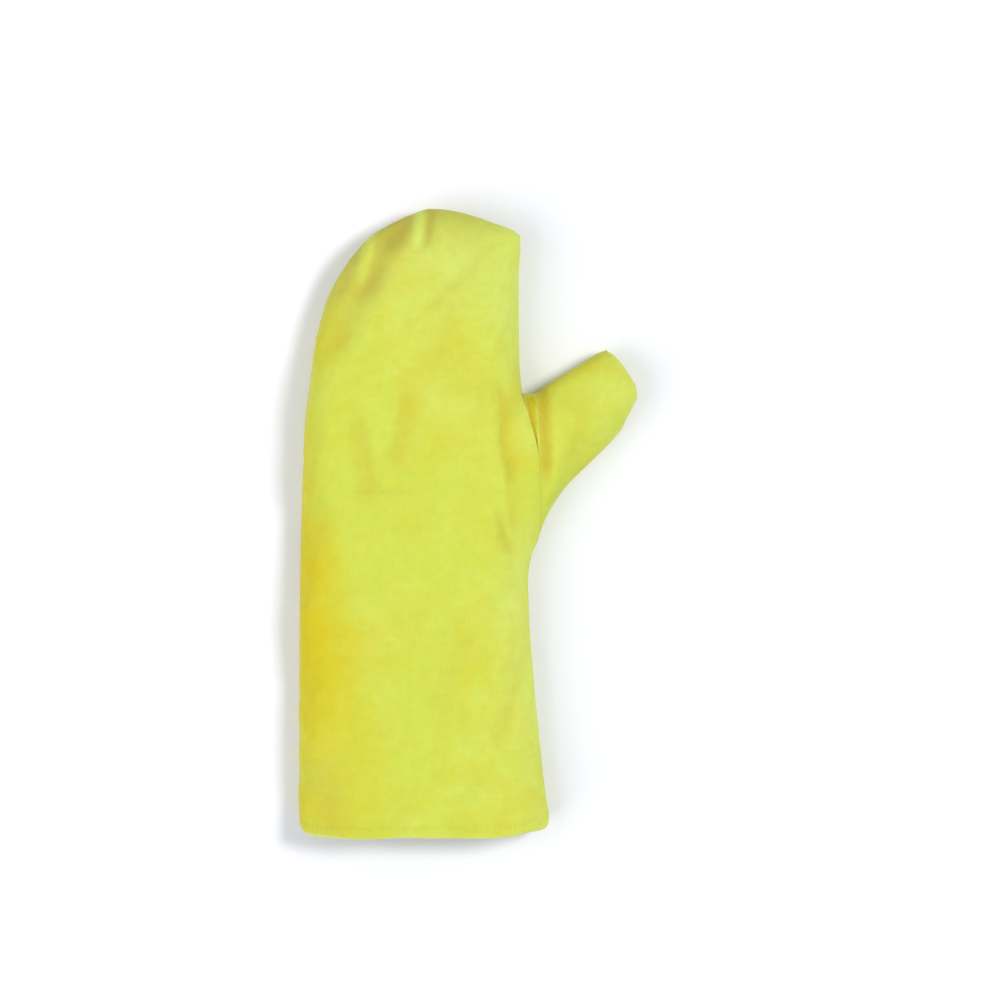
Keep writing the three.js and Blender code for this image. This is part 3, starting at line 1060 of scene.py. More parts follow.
@dataclass(frozen=True)
class TipTones:
    """How the cloth is coloured at the fingertips, on the little finger's side of the middle: darker towards
    their edge with painted shade, where the cloth turns from the light, and less golden and paler.
    """

    start: float = mm(110)
    whole: float = mm(170)
    left_of: float = mm(-4)
    right_end: float = mm(30)
    golden_and_painted_shade: float = -0.25
    pale_and_painted_light: float = 0.55
    painted_shade: float = 0.62
    painted_shade_reach: float = mm(16)

    def share_at(self, places: np.ndarray) -> np.ndarray:
        """Gives how much of this colouring there is at places.

        Args:
            places: The places of the cloth.

        Returns:
            The share at each, from 0 to 1.
        """
        x, y = places[..., 0], places[..., 1]
        high = smooth((y - self.start) / (self.whole - self.start))
        return high * (1 - smooth((x - self.left_of) / (self.right_end - self.left_of)))


@dataclass
class HandPanel(SewnCloth):
    """The upper or lower cloth of the hand and the cuff, in one piece."""

    side: Side = Side.UPPER
    mouth_points: tuple[tuple[float, float], ...] = MOUTH_OF_BACK
    width: float = mm(150)
    corner: float = mm(12)
    at_thumb: float = mm(20)
    start_points: int = 900
    scallop: float = mm(6)
    scallop_size: float = mm(26)
    tip: TipTones = field(default_factory=TipTones)

    def __post_init__(self) -> None:
        """Draws the sides of the panel."""
        form = self.form
        self.start_height = form.hem_width + form.sewn_gap
        self.mouth = Route.through(self.mouth_points)
        self.left = form.little_finger.after(self.start_height)
        self.cuff = form.wrist.turned().after(self.start_height)
        self.right = self.cuff.then(form.thumb_seam.turned(), form.index.turned())

    def shares(self, spacing: Spacing, rounded: bool = True) -> tuple[np.ndarray, np.ndarray]:
        """Spreads the grid lines along and across the panel.

        Args:
            spacing: How close they lie.
            rounded: Whether they crowd at its sewn sides seen from above.

        Returns:
            Their shares along and across.
        """
        form = self.form
        height = form.usual_rise if self.side is Side.UPPER else form.seam_height
        beside = spacing.beside(form.rounding(self.side), height, rounded)
        cuff, seam, index = self.cuff.length, form.thumb_seam.length, form.index.length
        steep = spacing.beside(self.at_thumb, 0, rounded=False)
        along = np.concatenate([
            spacing.shares(cuff, np.array(spacing.rim), BARE_END) * cuff,
            cuff + spacing.shares(seam, steep, steep)[1:] * seam,
            cuff + seam + spacing.shares(index, BARE_END, beside)[1:] * index,
        ])
        return along / self.right.length, spacing.shares(self.width, beside, beside)

    def lay_out(self, spacing: Spacing) -> tuple[np.ndarray, np.ndarray]:
        """Lays the panel out on the form.

        Args:
            spacing: How close the grid lines lie.

        Returns:
            The places in space, and how far each is from the sewn outline seen from above.
        """
        along, across = self.shares(spacing)
        reach = along * self.right.length
        crotch = self.right.length - self.form.index.length
        at_thumb = (reach > self.cuff.length + SAME_PLACE) & (reach < crotch - SAME_PLACE)
        even_along, even_across = self.shares(spacing, rounded=False)
        ease = self.corner
        from_sides = np.minimum(across, 1 - across) * self.width
        beside_sides = 1 - smooth(from_sides / ease)[None, :]
        beside_tip = 1 - smooth((self.right.length - reach) / ease)[:, None]
        into_seam = np.minimum(reach - self.cuff.length, crotch - reach)[:, None]
        at_seam = smooth((into_seam + ease / 3) / ease) * (across > 0.5)[None, :]
        across = across + (even_across - across) * np.maximum(beside_tip, at_seam)
        along = along[:, None] + (even_along - along)[:, None] * beside_sides
        shares = np.linspace(0, 1, self.start_points)
        start = Route(self.form.line_above(self.mouth, self.start_height, shares))
        flat = patch(start, self.form.fingertip, self.left, self.right, across, along)
        near = self.form.near_seam(flat)
        near[:, 0] = near[-1, :] = 0
        near[~at_thumb, -1] = 0
        folds = self.form.folds_at(off_line(flat), near, HAND_FOLDS)
        places = self.form.stand(flat, near, self.side, folds)
        if self.side is Side.LOWER:
            return places[:, ::-1], near[:, ::-1]
        return places, near

    def tones_at(self, places: np.ndarray, near: np.ndarray) -> dict[str, np.ndarray]:
        """Gives the yarn's tones, partly its own and partly painted shade and painted light.

        Args:
            places: The places of the cloth.
            near: How far each is from the sewn outline.

        Returns:
            How golden, pale and dark it is painted at each.
        """
        x, y = places[..., 0], places[..., 1]
        scallop = self.scallop * uneven(places, self.scallop_size, seed=1.9)
        left_x, right_x = (
            np.interp(y, side.places[:, 1], side.places[:, 0]) for side in (self.left, self.right)
        )
        at_tip = self.tip.share_at(places)
        # Painted shade darkens the fingertips towards their edge; the side bands and the folds bring painted
        # shade and painted light as well as the yarn's own tones.
        tones = {
            "golden_and_painted_shade": GOLDEN_AND_PAINTED_SHADE_SIDE.share_at(y, x - left_x + scallop) + self.tip.golden_and_painted_shade * at_tip,
            "pale_and_painted_light": PALE_AND_PAINTED_LIGHT_SIDE.share_at(y, right_x - x + scallop) + self.tip.pale_and_painted_light * at_tip,
            "painted_shade": self.tip.painted_shade * np.exp(-near / self.tip.painted_shade_reach) * at_tip,
        }
        if self.side is Side.UPPER:
            for tone in ("golden_and_painted_shade", "painted_shade"):
                tones[tone] += tinted_by(HAND_FOLDS, tone, off_line(places))
        return tones

    def lines(self, spacing: Spacing) -> tuple[np.ndarray, np.ndarray]:
        """Gives the shares of the grid lines along and across the laid out panel."""
        along, across = self.shares(spacing)
        return along, across if self.side is Side.UPPER else (1 - across)[::-1]

    def grid(self) -> ClothGrid:
        """Lays out, settles and finishes the panel.

        Returns:
            Its cloth.
        """
        base, near = self.settled(f"settling {self.side.name}")
        ends = (Border.LEFT, Border.RIGHT)
        finger, thumb = ends if self.side is Side.UPPER else ends[::-1]
        thumb_hole = (self.cuff.length, self.cuff.length + self.form.thumb_seam.length)
        rims = (
            Rim(finger, seed=1.0),
            Rim(thumb, seed=2.0, sewn_flat=thumb_hole),
            Rim(Border.END, seed=3.0),
            Rim(Border.START, seed=4.0, roll=mm(0.2), painted_rim_highlight=0.0),
        )
        return self.finish_grid(base, near, self.side, self.tones_at(base, near), rims)


@dataclass
class Thumb(SewnCloth):
    """The thumb: one piece of cloth, folded along its lower edge, sewn along its upper edge and its end."""

    base_lines: tuple[float, ...] = tuple(mm(d) for d in (0, 0.4, 0.9, 1.5, 2.2, 3, 3.9, 5, 6.4, 8.2))
    length: float = mm(70)
    corner: float = mm(10)
    fold_ramp: float = mm(2.5)
    base_points: int = 600
    # Along the upper seam the thumb is painted golden and dark, painted shade where it turns from the light;
    # its end and its folded lower edge are painted pale, painted light; and it is painted a little darker all
    # over.
    painted_golden_shade_at_seam: tuple[float, float] = (1.25, mm(14))
    painted_golden_shade_from_end: float = mm(24)
    painted_light_at_end: tuple[float, float] = (0.8, mm(12))
    painted_fold_light: tuple[float, float] = (0.7, 0.25)
    painted_shade_at_seam: tuple[float, float] = (0.45, mm(8))
    painted_shade_x: tuple[float, float] = (mm(38), mm(50))
    painted_shade_all_over: float = 0.03

    def shares(self, spacing: Spacing, rounded: bool = True) -> tuple[np.ndarray, np.ndarray]:
        """Spreads the grid lines out along the thumb, and across one of its halves.

        Args:
            spacing: How close they lie.
            rounded: Whether they crowd at its sewn sides seen from above.

        Returns:
            Their shares along and across.
        """
        fine = len(spacing.rim) > 1
        base = np.array(self.base_lines) if fine else BARE_END
        side = spacing.beside(self.form.top_rounding, self.form.usual_rise, rounded)
        across = spacing.shares(self.form.thumb_seam.length, side, side)
        return spacing.shares(self.length, base, side), across

    def lay_out(self, spacing: Spacing) -> tuple[np.ndarray, np.ndarray]:
        """Lays the thumb out on the form, its upper half and then its lower one.

        Args:
            spacing: How close the grid lines lie.

        Returns:
            The places in space, and how far each is from the sewn outline seen from above.
        """
        form = self.form
        along, across = self.shares(spacing)
        even_along, even_across = self.shares(spacing, rounded=False)
        from_sides = np.minimum(across, 1 - across) * form.thumb_seam.length
        beside_sides = 1 - smooth(from_sides / self.corner)[None, :]
        beside_end = 1 - smooth((1 - along) * self.length / self.corner)[:, None]
        across = across + (even_across - across) * beside_end
        along = along[:, None] + (even_along - along)[:, None] * beside_sides
        upper = form.thumb_upper.after(form.sewn_gap)
        lower = form.thumb_lower.turned().after(3 * form.sewn_gap)
        shares = np.linspace(0, 1, self.base_points)
        drifts = (upper.at(0.0) - form.thumb_seam.at(0.0), lower.at(0.0) - form.thumb_seam.at(1.0))
        base = Route(form.thumb_seam.drifted(shares, *drifts))
        flat = patch(base, form.thumb_end, upper, lower, across, along)
        near = form.near_seam(flat)
        near[:, 0] = near[:, -1] = near[-1, :] = 0
        folds = form.folds_at(flat, near, THUMB_FOLDS, ramp=self.fold_ramp)
        top = form.stand(flat, near, Side.UPPER, folds)
        under = form.stand(flat, near, Side.LOWER, folds)[:, ::-1]
        top[:, -1, 2] = form.seam_at(flat[:, -1])
        return np.concatenate([top, under[:, 1:]], axis=1), np.concatenate([near, near[:, -2::-1]], axis=1)

    def lines(self, spacing: Spacing) -> tuple[np.ndarray, np.ndarray]:
        """Gives the shares of the grid lines along the thumb and across both of its halves."""
        along, across = self.shares(spacing)
        return along, np.concatenate([across / 2, 1 - across[-2::-1] / 2])

    def tones_at(self, places: np.ndarray) -> dict[str, np.ndarray]:
        """Gives the yarn's tones, partly its own and partly painted shade and painted light.

        Args:
            places: The places of the cloth.

        Returns:
            How golden, pale and dark it is painted at each.
        """
        half = places.shape[1] // 2
        column = np.arange(places.shape[1])
        from_seam, from_end = (from_border(places, border)[0] for border in (Border.LEFT, Border.END))
        (golden_and_painted_shade, golden_shade_reach), (painted_shade, painted_shade_reach) = self.painted_golden_shade_at_seam, self.painted_shade_at_seam
        (pale_and_painted_light, painted_light_reach), (fold, fold_reach) = self.painted_light_at_end, self.painted_fold_light
        low_x, high_x = self.painted_shade_x
        past_base = smooth((places[..., 0] - low_x) / (high_x - low_x))
        # Painted shade along the upper seam, painted light at the end and along the fold.
        tones = {
            "golden_and_painted_shade": golden_and_painted_shade * np.exp(-from_seam / golden_shade_reach) * smooth(from_end / self.painted_golden_shade_from_end),
            "pale_and_painted_light": pale_and_painted_light * np.exp(-from_end / painted_light_reach)
            + fold * (1 - smooth(np.abs(column - half) / half / fold_reach)),
            "painted_shade": self.painted_shade_all_over + painted_shade * np.exp(-from_seam / painted_shade_reach) * past_base,
        }
        for tone in ("golden_and_painted_shade", "painted_shade"):
            tones[tone] += tinted_by(THUMB_FOLDS, tone, places[..., :2]) * (column <= half)
        return tones

    def grid(self) -> ClothGrid:
        """Lays out, settles and finishes the thumb.

        Returns:
            Its cloth.
        """
        base, near = self.settled("settling thumb")
        rims = (
            Rim(Border.LEFT, seed=5.0),
            Rim(Border.RIGHT, seed=5.0),
            Rim(Border.END, seed=6.0),
            Rim(Border.START, seed=2.0, gather=mm(0.1), sewn_flat=(0, FAR_FROM_SEAMS)),
        )
        cloth = self.finish_grid(base, near, Side.UPPER, self.tones_at(base), rims)
        on_top = np.arange(base.shape[1]) <= base.shape[1] // 2
        under = self.pattern_of(cloth.settled, cloth.facing, near, Side.LOWER)
        cloth.pattern = np.where(on_top[None, :, None], cloth.pattern, under)
        return cloth


def round_mouth(of_back: np.ndarray, of_palm: np.ndarray) -> np.ndarray:
    """Joins values at the back's edge of the mouth and those at the palm's, which start on its last one."""
    return np.concatenate([of_back, of_palm[1:]])


@dataclass
class CuffHem:
    """The turned edge round the mouth: the cloth folded in on itself, and pinched by a row of stitches.

    Its section is given as distances towards the mouth and depths, in millimetres. Its fold carries two
    painted highlights, a pale one and a cream one, from some distance towards the mouth on, both fully so a
    little further.
    """

    form: MittenForm
    back: HandPanel
    palm: HandPanel
    thickness: float = mm(4.2)
    stitch_line: float = mm(1.5)
    painted_fold_light: float = 0.6
    fold_light_from: tuple[float, float] = (mm(4.6), mm(6.6))
    painted_fold_highlight: float = 0.7
    fold_highlight_from: tuple[float, float] = (mm(5.6), mm(6.7))
    ripple: float = mm(0.2)
    outside: tuple[tuple[float, float], ...] = (
        (0, 0.2), (0.35, 0.1), (0.8, 0.08), (1.2, 0.2), (1.5, 0.26), (1.8, 0.2), (2.3, 0.06), (3, 0),
        (3.9, 0),
    )
    inside: tuple[tuple[float, float], ...] = (
        (3.9, 4.2), (3, 4.15), (2.2, 3.6), (1.5, 2.9), (0.8, 2.5), (0, 2.4),
    )

    def section(self) -> np.ndarray:
        """Draws the hem's section.

        Returns:
            Its places, closed, as distances towards the mouth and depths in metres.
        """
        radius = self.thickness / mm(2)
        middle = self.form.hem_width / mm(1) - radius
        turn = np.radians(np.linspace(-90, 90, 11))
        fold = np.stack([middle + radius * np.cos(turn), radius + radius * np.sin(turn)], axis=-1)
        return np.vstack([self.outside, fold, self.inside, self.outside[:1]]) * mm(1)

    def grid(self, upper: ClothGrid, lower: ClothGrid) -> ClothGrid:
        """Sweeps the section round the mouth.

        Args:
            upper: The cloth of the back.
            lower: The cloth of the palm.

        Returns:
            The hem, whose first and last rows and columns lie on each other.
        """
        width = self.form.hem_width
        stitched, edges = [], []
        for panel, turn in ((self.back, 1), (self.palm, -1)):
            shares = panel.shares(FINE)[1]
            stitched.append(self.form.line_above(panel.mouth, width, shares)[::turn])
            edges.append(panel.mouth.at(shares)[::turn])
        flat = round_mouth(*stitched)
        drop = (round_mouth(*edges) - flat) / width
        facing = round_mouth(upper.facing[0], lower.facing[0])
        height = round_mouth(upper.settled[0, :, 2], lower.settled[0, :, 2])
        height[[0, len(stitched[0]) - 1, -1]] = self.form.seam_height
        facing[-1] = facing[0]
        line = np.concatenate([flat, height[:, None]], axis=-1)
        along_gather = round_mouth(
            *(from_border(cloth.settled, Border.START)[1][0] for cloth in (upper, lower))
        )
        section = self.section()
        towards, depth = section[:, 0], section[:, 1]
        rim = Rim(Border.START, seed=4.0, gather=self.ripple)
        lift = rim.gathers(towards[None, :], along_gather[:, None])
        down = np.concatenate([drop, np.zeros((len(drop), 1))], axis=-1)
        places = line[:, None] + down[:, None] * towards[None, :, None]
        places = places + facing[:, None] * (lift - depth[None, :])[..., None]
        places[..., 2] = np.maximum(places[..., 2], 0)
        shape = places.shape[:2]
        along = marks_of(line)[:, None]
        pattern = np.stack(np.broadcast_arrays(along, marks_of(section)[None, :]), axis=-1)
        # Painted highlights along the fold of the hem.
        edge, painted_rim_highlight = (
            smooth((towards - low) / (high - low))[None, :] for low, high in (self.fold_light_from, self.fold_highlight_from)
        )
        tones = {
            name: round_mouth(upper.tones[name][0], lower.tones[name][0])[:, None] * (1 - edge)
            for name in upper.tones
        }
        tones["pale_and_painted_light"] = tones["pale_and_painted_light"] + self.painted_fold_light * edge
        tones["painted_rim_highlight"] = np.broadcast_to(self.painted_fold_highlight * painted_rim_highlight, shape)
        return ClothGrid(
            settled=places,
            facing=np.broadcast_to(facing[:, None], places.shape),
            outer=places,
            inner=places,
            pattern=pattern,
            seam_away=np.broadcast_to(np.abs(towards - self.stitch_line)[None, :], shape),
            seam_along=np.broadcast_to(along, shape),
            tones=tones,
        )

    def build(self, name: str, cloth: ClothGrid) -> bpy.types.Object:
        """Makes the ring of the hem.

        Args:
            name: The piece's name.
            cloth: The hem's grid.

        Returns:
            The piece.
        """
        rows, columns = cloth.outer.shape[:2]
        bm, place = grid_mesh(rows, columns)
        places = cloth.outer.reshape(-1, 3)
        for vert in bm.verts:
            vert.co = places[vert[place]]
        mesh = ClothMesh(bm, place)
        mesh.dress(cloth)
        bmesh.ops.remove_doubles(bm, verts=bm.verts[:], dist=mm(0.001))
        bmesh.ops.recalc_face_normals(bm, faces=bm.faces[:])
        return mesh.finish(name)


@dataclass
class HemStitches:
    """The row of thread along the hem: short stitches that lie in the groove they pull."""

    stitch: float = mm(2.9)
    pitch: float = mm(3.8)
    thread: float = mm(0.4)
    sunk: float = mm(0.1)
    lead: float = 0.1

    def build(self, name: str, hem: CuffHem, cloth: ClothGrid) -> bpy.types.Object:
        """Lays the stitches along the hem's groove.

        Args:
            name: The piece's name.
            hem: The hem.
            cloth: The hem's grid.

        Returns:
            The piece, all stitches in one mesh.
        """
        column = int(np.argmin(np.abs(hem.section()[: len(hem.outside), 0] - hem.stitch_line)))
        line, facing = cloth.outer[:, column], cloth.facing[:, column]
        marks = marks_of(line)
        count = int(marks[-1] / self.pitch)
        bm = bmesh.new()
        for k in range(count):
            start = k + self.lead
            reach = (np.array([start, start + self.stitch / self.pitch]) % count) * marks[-1] / count
            if reach[1] < reach[0]:
                continue
            ends = np.stack([np.interp(reach, marks, line[:, j]) for j in range(3)], axis=-1)
            up = Vector([float(np.interp(reach.mean(), marks, facing[:, j])) for j in range(3)]).normalized()
            middle = Vector(ends.mean(0)) - up * self.sunk
            run = Vector(ends[1] - ends[0])
            turn = Matrix((run.normalized(), up.cross(run.normalized()), up)).transposed().to_4x4()
            size = Matrix.Diagonal((run.length, self.thread, self.thread, 1))
            made = bmesh.ops.create_uvsphere(bm, u_segments=6, v_segments=5, radius=0.5)
            upright = Matrix.Rotation(math.radians(90), 4, "Y")
            placed = Matrix.Translation(middle) @ turn @ size @ upright
            bmesh.ops.transform(bm, matrix=placed, verts=made["verts"])
        for face in bm.faces:
            face.smooth = True
        piece = object_of(bm, name)
        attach(piece, BODY)
        LOG.info("%s has %d stitches", name, count)
        return piece


def linear(code: str) -> tuple[float, float, float, float]:
    """Turns an sRGB hex colour into linear red, green, blue and alpha."""
    parts = (int(code[k:k + 2], 16) / 255 for k in (1, 3, 5))
    return (*(c / 12.92 if c <= 0.04045 else ((c + 0.055) / 1.055) ** 2.4 for c in parts), 1.0)


def empty_material(name: str) -> tuple[bpy.types.Material, bpy.types.NodeTree]:
    """Makes a material without nodes.

    Args:
        name: Its name.

    Returns:
        The material and its nodes.
    """
    material = bpy.data.materials.new(name)
    material.use_nodes = True
    material.node_tree.nodes.clear()
    return material, material.node_tree


def add_node(
    tree: bpy.types.NodeTree, kind: str, inputs: dict[Any, Any] | None = None, **settings: Any
) -> Any:
    """Adds a node with its settings and links.

    Args:
        tree: The material's or world's nodes.
        kind: The node's type, without ShaderNode.
        inputs: For input names or numbers, the value or the output that feeds them.
        settings: The node's own settings.

    Returns:
        The node.
    """
    node = tree.nodes.new("ShaderNode" + kind)
    for key, value in settings.items():
        setattr(node, key, value)
    for key, value in (inputs or {}).items():
        if isinstance(value, bpy.types.NodeSocket):
            tree.links.new(value, node.inputs[key])
        else:
            node.inputs[key].default_value = value
    return node


@dataclass(frozen=True)
class AramidWeave:
    """Plain-woven para-aramid yarn, dyed by nature a lemon green that ages to gold.

    To the eye it is a matt, dense canvas: fine square weave, thicker places in the yarn that run along it,
    soft patches of gold, and a faint pale bloom where it is seen at a flat angle. The patches of gold are
    about 60 mm wide and the pale ones about 90 mm, the threads bend slightly every 17 mm or so, and the
    yarn is thick or thin over 1 mm across and 10 mm along it.
    """

    name: str
    fresh: str = "#CAD44B"
    # The gold is partly the yarn's ageing and partly painted shade, the pale colour partly its own tone and
    # partly painted light; the dark colour is painted shade and the cream one a painted highlight along the
    # rims.
    aged_and_shade_gold: str = "#D1C11D"
    pale_and_painted_light: str = "#D2E06A"
    painted_shade: str = "#BBB046"
    painted_rim_highlight: str = "#E2E2A6"
    thread: float = mm(1.2)  # the real threads lie 0.7 mm apart, too fine to show
    relief: float = mm(0.09)
    stitch_pull: float = mm(0.16)
    stitch_pitch: float = mm(3.2)
    roughness: float = 0.82
    specular: float = 0.25
    sheen: float = 0.35
    sheen_roughness: float = 0.25
    sheen_tint: str = "#F4F8C8"
    patches: float = 0.46
    pale_patches: float = 0.66
    bend: float = mm(1.2)
    pulled_within: tuple[float, float] = (mm(0.3), mm(3.5))
    # Columns: noise per metre across, along and in depth, and by how much it lightens and darkens.
    uneven_yarn: tuple[tuple[tuple[float, float, float], float], ...] = (
        ((90.0, 800.0, 1.0), 0.014),
        ((800.0, 90.0, 1.0), 0.014),
        ((170.0, 170.0, 1.0), 0.024),
    )

    def make(self) -> bpy.types.Material:
        """Makes the finish.

        Returns:
            Its material.
        """
        material, tree = empty_material(self.name)
        height = self.weave(tree)
        colour = self.colour(tree, height)
        relief = self.pulled(tree, height)
        bump = add_node(tree, "Bump", {"Strength": 1.0, "Distance": self.relief, "Height": relief})
        shader = add_node(tree, "BsdfPrincipled", {
            "Base Color": colour,
            "Roughness": self.roughness,
            "Specular IOR Level": self.specular,
            "Sheen Weight": self.sheen,
            "Sheen Roughness": self.sheen_roughness,
            "Sheen Tint": linear(self.sheen_tint),
            "Normal": bump.outputs["Normal"],
        })
        add_node(tree, "OutputMaterial", {"Surface": shader.outputs["BSDF"]})
        return material

    def weave(self, tree: bpy.types.NodeTree) -> bpy.types.NodeSocket:
        """Draws the plain weave: in every other square the warp lies on top, in the rest the weft.

        Args:
            tree: The material's nodes.

        Returns:
            How high the threads lie, from 0 to 1.
        """
        uv = add_node(tree, "UVMap", uv_map="pattern")
        wobble = add_node(tree, "TexNoise", {"Vector": uv.outputs["UV"], "Scale": 60.0, "Detail": 1.0})
        bend = (self.bend, self.bend, 0)
        shift = add_node(tree, "VectorMath", {0: wobble.outputs["Color"], 1: bend}, operation="MULTIPLY")
        placed = add_node(tree, "VectorMath", {0: uv.outputs["UV"], 1: shift.outputs[0]}, operation="ADD")
        pitch = (1 / self.thread,) * 3
        threads = add_node(tree, "VectorMath", {0: placed.outputs[0], 1: pitch}, operation="MULTIPLY")
        whole = add_node(tree, "VectorMath", {0: threads.outputs[0]}, operation="FLOOR")
        part = add_node(tree, "VectorMath", {0: threads.outputs[0]}, operation="FRACTION")
        halves = add_node(tree, "VectorMath", {0: part.outputs[0], 1: (math.pi,) * 3}, operation="MULTIPLY")
        crowns = add_node(tree, "VectorMath", {0: halves.outputs[0]}, operation="SINE")
        crown = add_node(tree, "SeparateXYZ", {0: crowns.outputs[0]})
        cell = add_node(tree, "SeparateXYZ", {0: whole.outputs[0]})
        total = add_node(tree, "Math", {0: cell.outputs["X"], 1: cell.outputs["Y"]}, operation="ADD")
        odd = add_node(tree, "Math", {0: total.outputs[0], 1: 2.0}, operation="FLOORED_MODULO")
        over = []
        for top, run in (("X", "Y"), ("Y", "X")):
            arch = add_node(tree, "Math", {0: crown.outputs[run], 1: 0.5, 2: 0.5}, operation="MULTIPLY_ADD")
            raised = add_node(tree, "Math", {0: crown.outputs[top], 1: arch.outputs[0]}, operation="MULTIPLY")
            over.append(raised.outputs[0])
        height = add_node(tree, "Mix", {0: odd.outputs[0], 2: over[0], 3: over[1]})
        return height.outputs[0]

    def pulled(self, tree: bpy.types.NodeTree, height: bpy.types.NodeSocket) -> bpy.types.NodeSocket:
        """Adds the small dimples that the stitches pull beside the seams.

        Args:
            tree: The material's nodes.
            height: How high the threads lie.

        Returns:
            The height with the dimples.
        """
        away = add_node(tree, "Attribute", attribute_name="seam_away")
        along = add_node(tree, "Attribute", attribute_name="seam_along")
        near, far = self.pulled_within
        close = add_node(tree, "MapRange", {
            "Value": away.outputs["Fac"], "From Min": near, "From Max": far, "To Min": 1.0, "To Max": 0.0,
        }, interpolation_type="SMOOTHSTEP")
        turns = 2 * math.pi / self.stitch_pitch
        turn = add_node(tree, "Math", {0: along.outputs["Fac"], 1: turns}, operation="MULTIPLY")
        beat = add_node(tree, "Math", {0: turn.outputs[0]}, operation="COSINE")
        dimple = add_node(tree, "Math", {0: beat.outputs[0], 1: close.outputs[0]}, operation="MULTIPLY")
        pull = {0: dimple.outputs[0], 1: self.stitch_pull / self.relief, 2: height}
        return add_node(tree, "Math", pull, operation="MULTIPLY_ADD").outputs[0]

    def colour(self, tree: bpy.types.NodeTree, height: bpy.types.NodeSocket) -> bpy.types.NodeSocket:
        """Mixes the yarn's colours: golden where the cloth's tones say so and in soft patches, paler in
        others, darker and lighter where the tones say so. The tones are partly the yarn's own and partly
        painted: painted shade in the golden and the dark, painted light in the pale, and a painted highlight
        along the rims.

        Args:
            tree: The material's nodes.
            height: How high the threads lie.

        Returns:
            The cloth's colour.
        """
        place = add_node(tree, "TexCoord").outputs["Object"]
        shares = {
            tone: add_node(tree, "Attribute", attribute_name=tone).outputs["Fac"]
            for tone in ("golden_and_painted_shade", "pale_and_painted_light", "painted_shade", "painted_rim_highlight")
        }
        # Columns: tone, the noise's scale, detail, roughness and distortion, where it is whole, its most.
        for tone, scale, detail, rough, bent, whole, most in (
            ("golden_and_painted_shade", 16.0, 8.0, 0.68, 0.4, 0.70, self.patches),
            ("pale_and_painted_light", 11.0, 6.0, 0.70, 0.0, 0.68, self.pale_patches),
        ):
            patch_noise = add_node(tree, "TexNoise", {
                "Vector": place, "Scale": scale, "Detail": detail, "Roughness": rough, "Distortion": bent,
            })
            patches = add_node(tree, "MapRange", {
                "Value": patch_noise.outputs["Fac"], "From Min": 0.42, "From Max": whole, "To Min": -0.1,
                "To Max": most,
            })
            total = {0: shares[tone], 1: patches.outputs[0]}
            shares[tone] = add_node(tree, "Math", total, operation="ADD", use_clamp=True).outputs[0]
        mixed = linear(self.fresh)
        for tone, code in (
            ("pale_and_painted_light", self.pale_and_painted_light), ("golden_and_painted_shade", self.aged_and_shade_gold), ("painted_shade", self.painted_shade), ("painted_rim_highlight", self.painted_rim_highlight),
        ):
            colours = {0: shares[tone], 6: mixed, 7: linear(code)}
            mixed = add_node(tree, "Mix", colours, data_type="RGBA").outputs[2]
        tinted = add_node(tree, "VectorMath", {0: mixed, 3: self.painted_gap_shade_and_slubs(tree, height)}, operation="SCALE")
        return tinted.outputs[0]

    def painted_gap_shade_and_slubs(self, tree: bpy.types.NodeTree, height: bpy.types.NodeSocket) -> bpy.types.NodeSocket:
        """Darkens the gaps between threads with painted shade, and gives the yarn thick and thin places that
        run along it.

        Args:
            tree: The material's nodes.
            height: How high the threads lie.

        Returns:
            What the colour is multiplied by.
        """
        uv = add_node(tree, "UVMap", uv_map="pattern")
        # Painted shade in the gaps between the threads, where the weave lies low.
        painted_gap_shade = add_node(tree, "MapRange", {
            "Value": height, "From Min": 0.0, "From Max": 0.7, "To Min": 0.985, "To Max": 1.01,
        })
        shade = painted_gap_shade.outputs[0]
        for scale, depth in self.uneven_yarn:
            stretched = add_node(tree, "VectorMath", {0: uv.outputs["UV"], 1: scale}, operation="MULTIPLY")
            slubs = add_node(tree, "TexNoise", {"Vector": stretched.outputs[0], "Scale": 1.0, "Detail": 3.0})
            slub = add_node(tree, "MapRange", {
                "Value": slubs.outputs["Fac"], "From Min": 0.3, "From Max": 0.7, "To Min": 1 - depth,
                "To Max": 1 + depth,
            })
            shade = add_node(tree, "Math", {0: shade, 1: slub.outputs[0]}, operation="MULTIPLY").outputs[0]
        return shade


@dataclass(frozen=True)
class SewingThread:
    """Twisted aramid sewing thread: a little glossier and more golden than the cloth."""

    name: str
    colour: str = "#CCCF4C"
    twist: float = mm(0.5)
    slant: float = math.radians(35)
    relief: float = mm(0.08)

    def make(self) -> bpy.types.Material:
        """Makes the finish.

        Returns:
            Its material.
        """
        material, tree = empty_material(self.name)
        place = add_node(tree, "TexCoord")
        slant = (0, 0, self.slant)
        tilted = add_node(tree, "Mapping", {"Vector": place.outputs["Object"], "Rotation": slant})
        strands = add_node(tree, "TexWave", {"Vector": tilted.outputs[0], "Scale": 0.5 / self.twist / 3.14})
        strand = strands.outputs["Fac"]
        # Painted shade in the grooves between the strands, where the bump runs low.
        tone = add_node(tree, "MapRange", {"Value": strand, "To Min": 0.85, "To Max": 1.0})
        dyed = {0: linear(self.colour)[:3], 3: tone.outputs[0]}
        colour = add_node(tree, "VectorMath", dyed, operation="SCALE")
        bump = add_node(tree, "Bump", {"Strength": 0.6, "Distance": self.relief, "Height": strand})
        shader = add_node(tree, "BsdfPrincipled", {
            "Base Color": colour.outputs[0], "Roughness": 0.6, "Sheen Weight": 0.15,
            "Normal": bump.outputs["Normal"],
        })
        add_node(tree, "OutputMaterial", {"Surface": shader.outputs["BSDF"]})
        return material


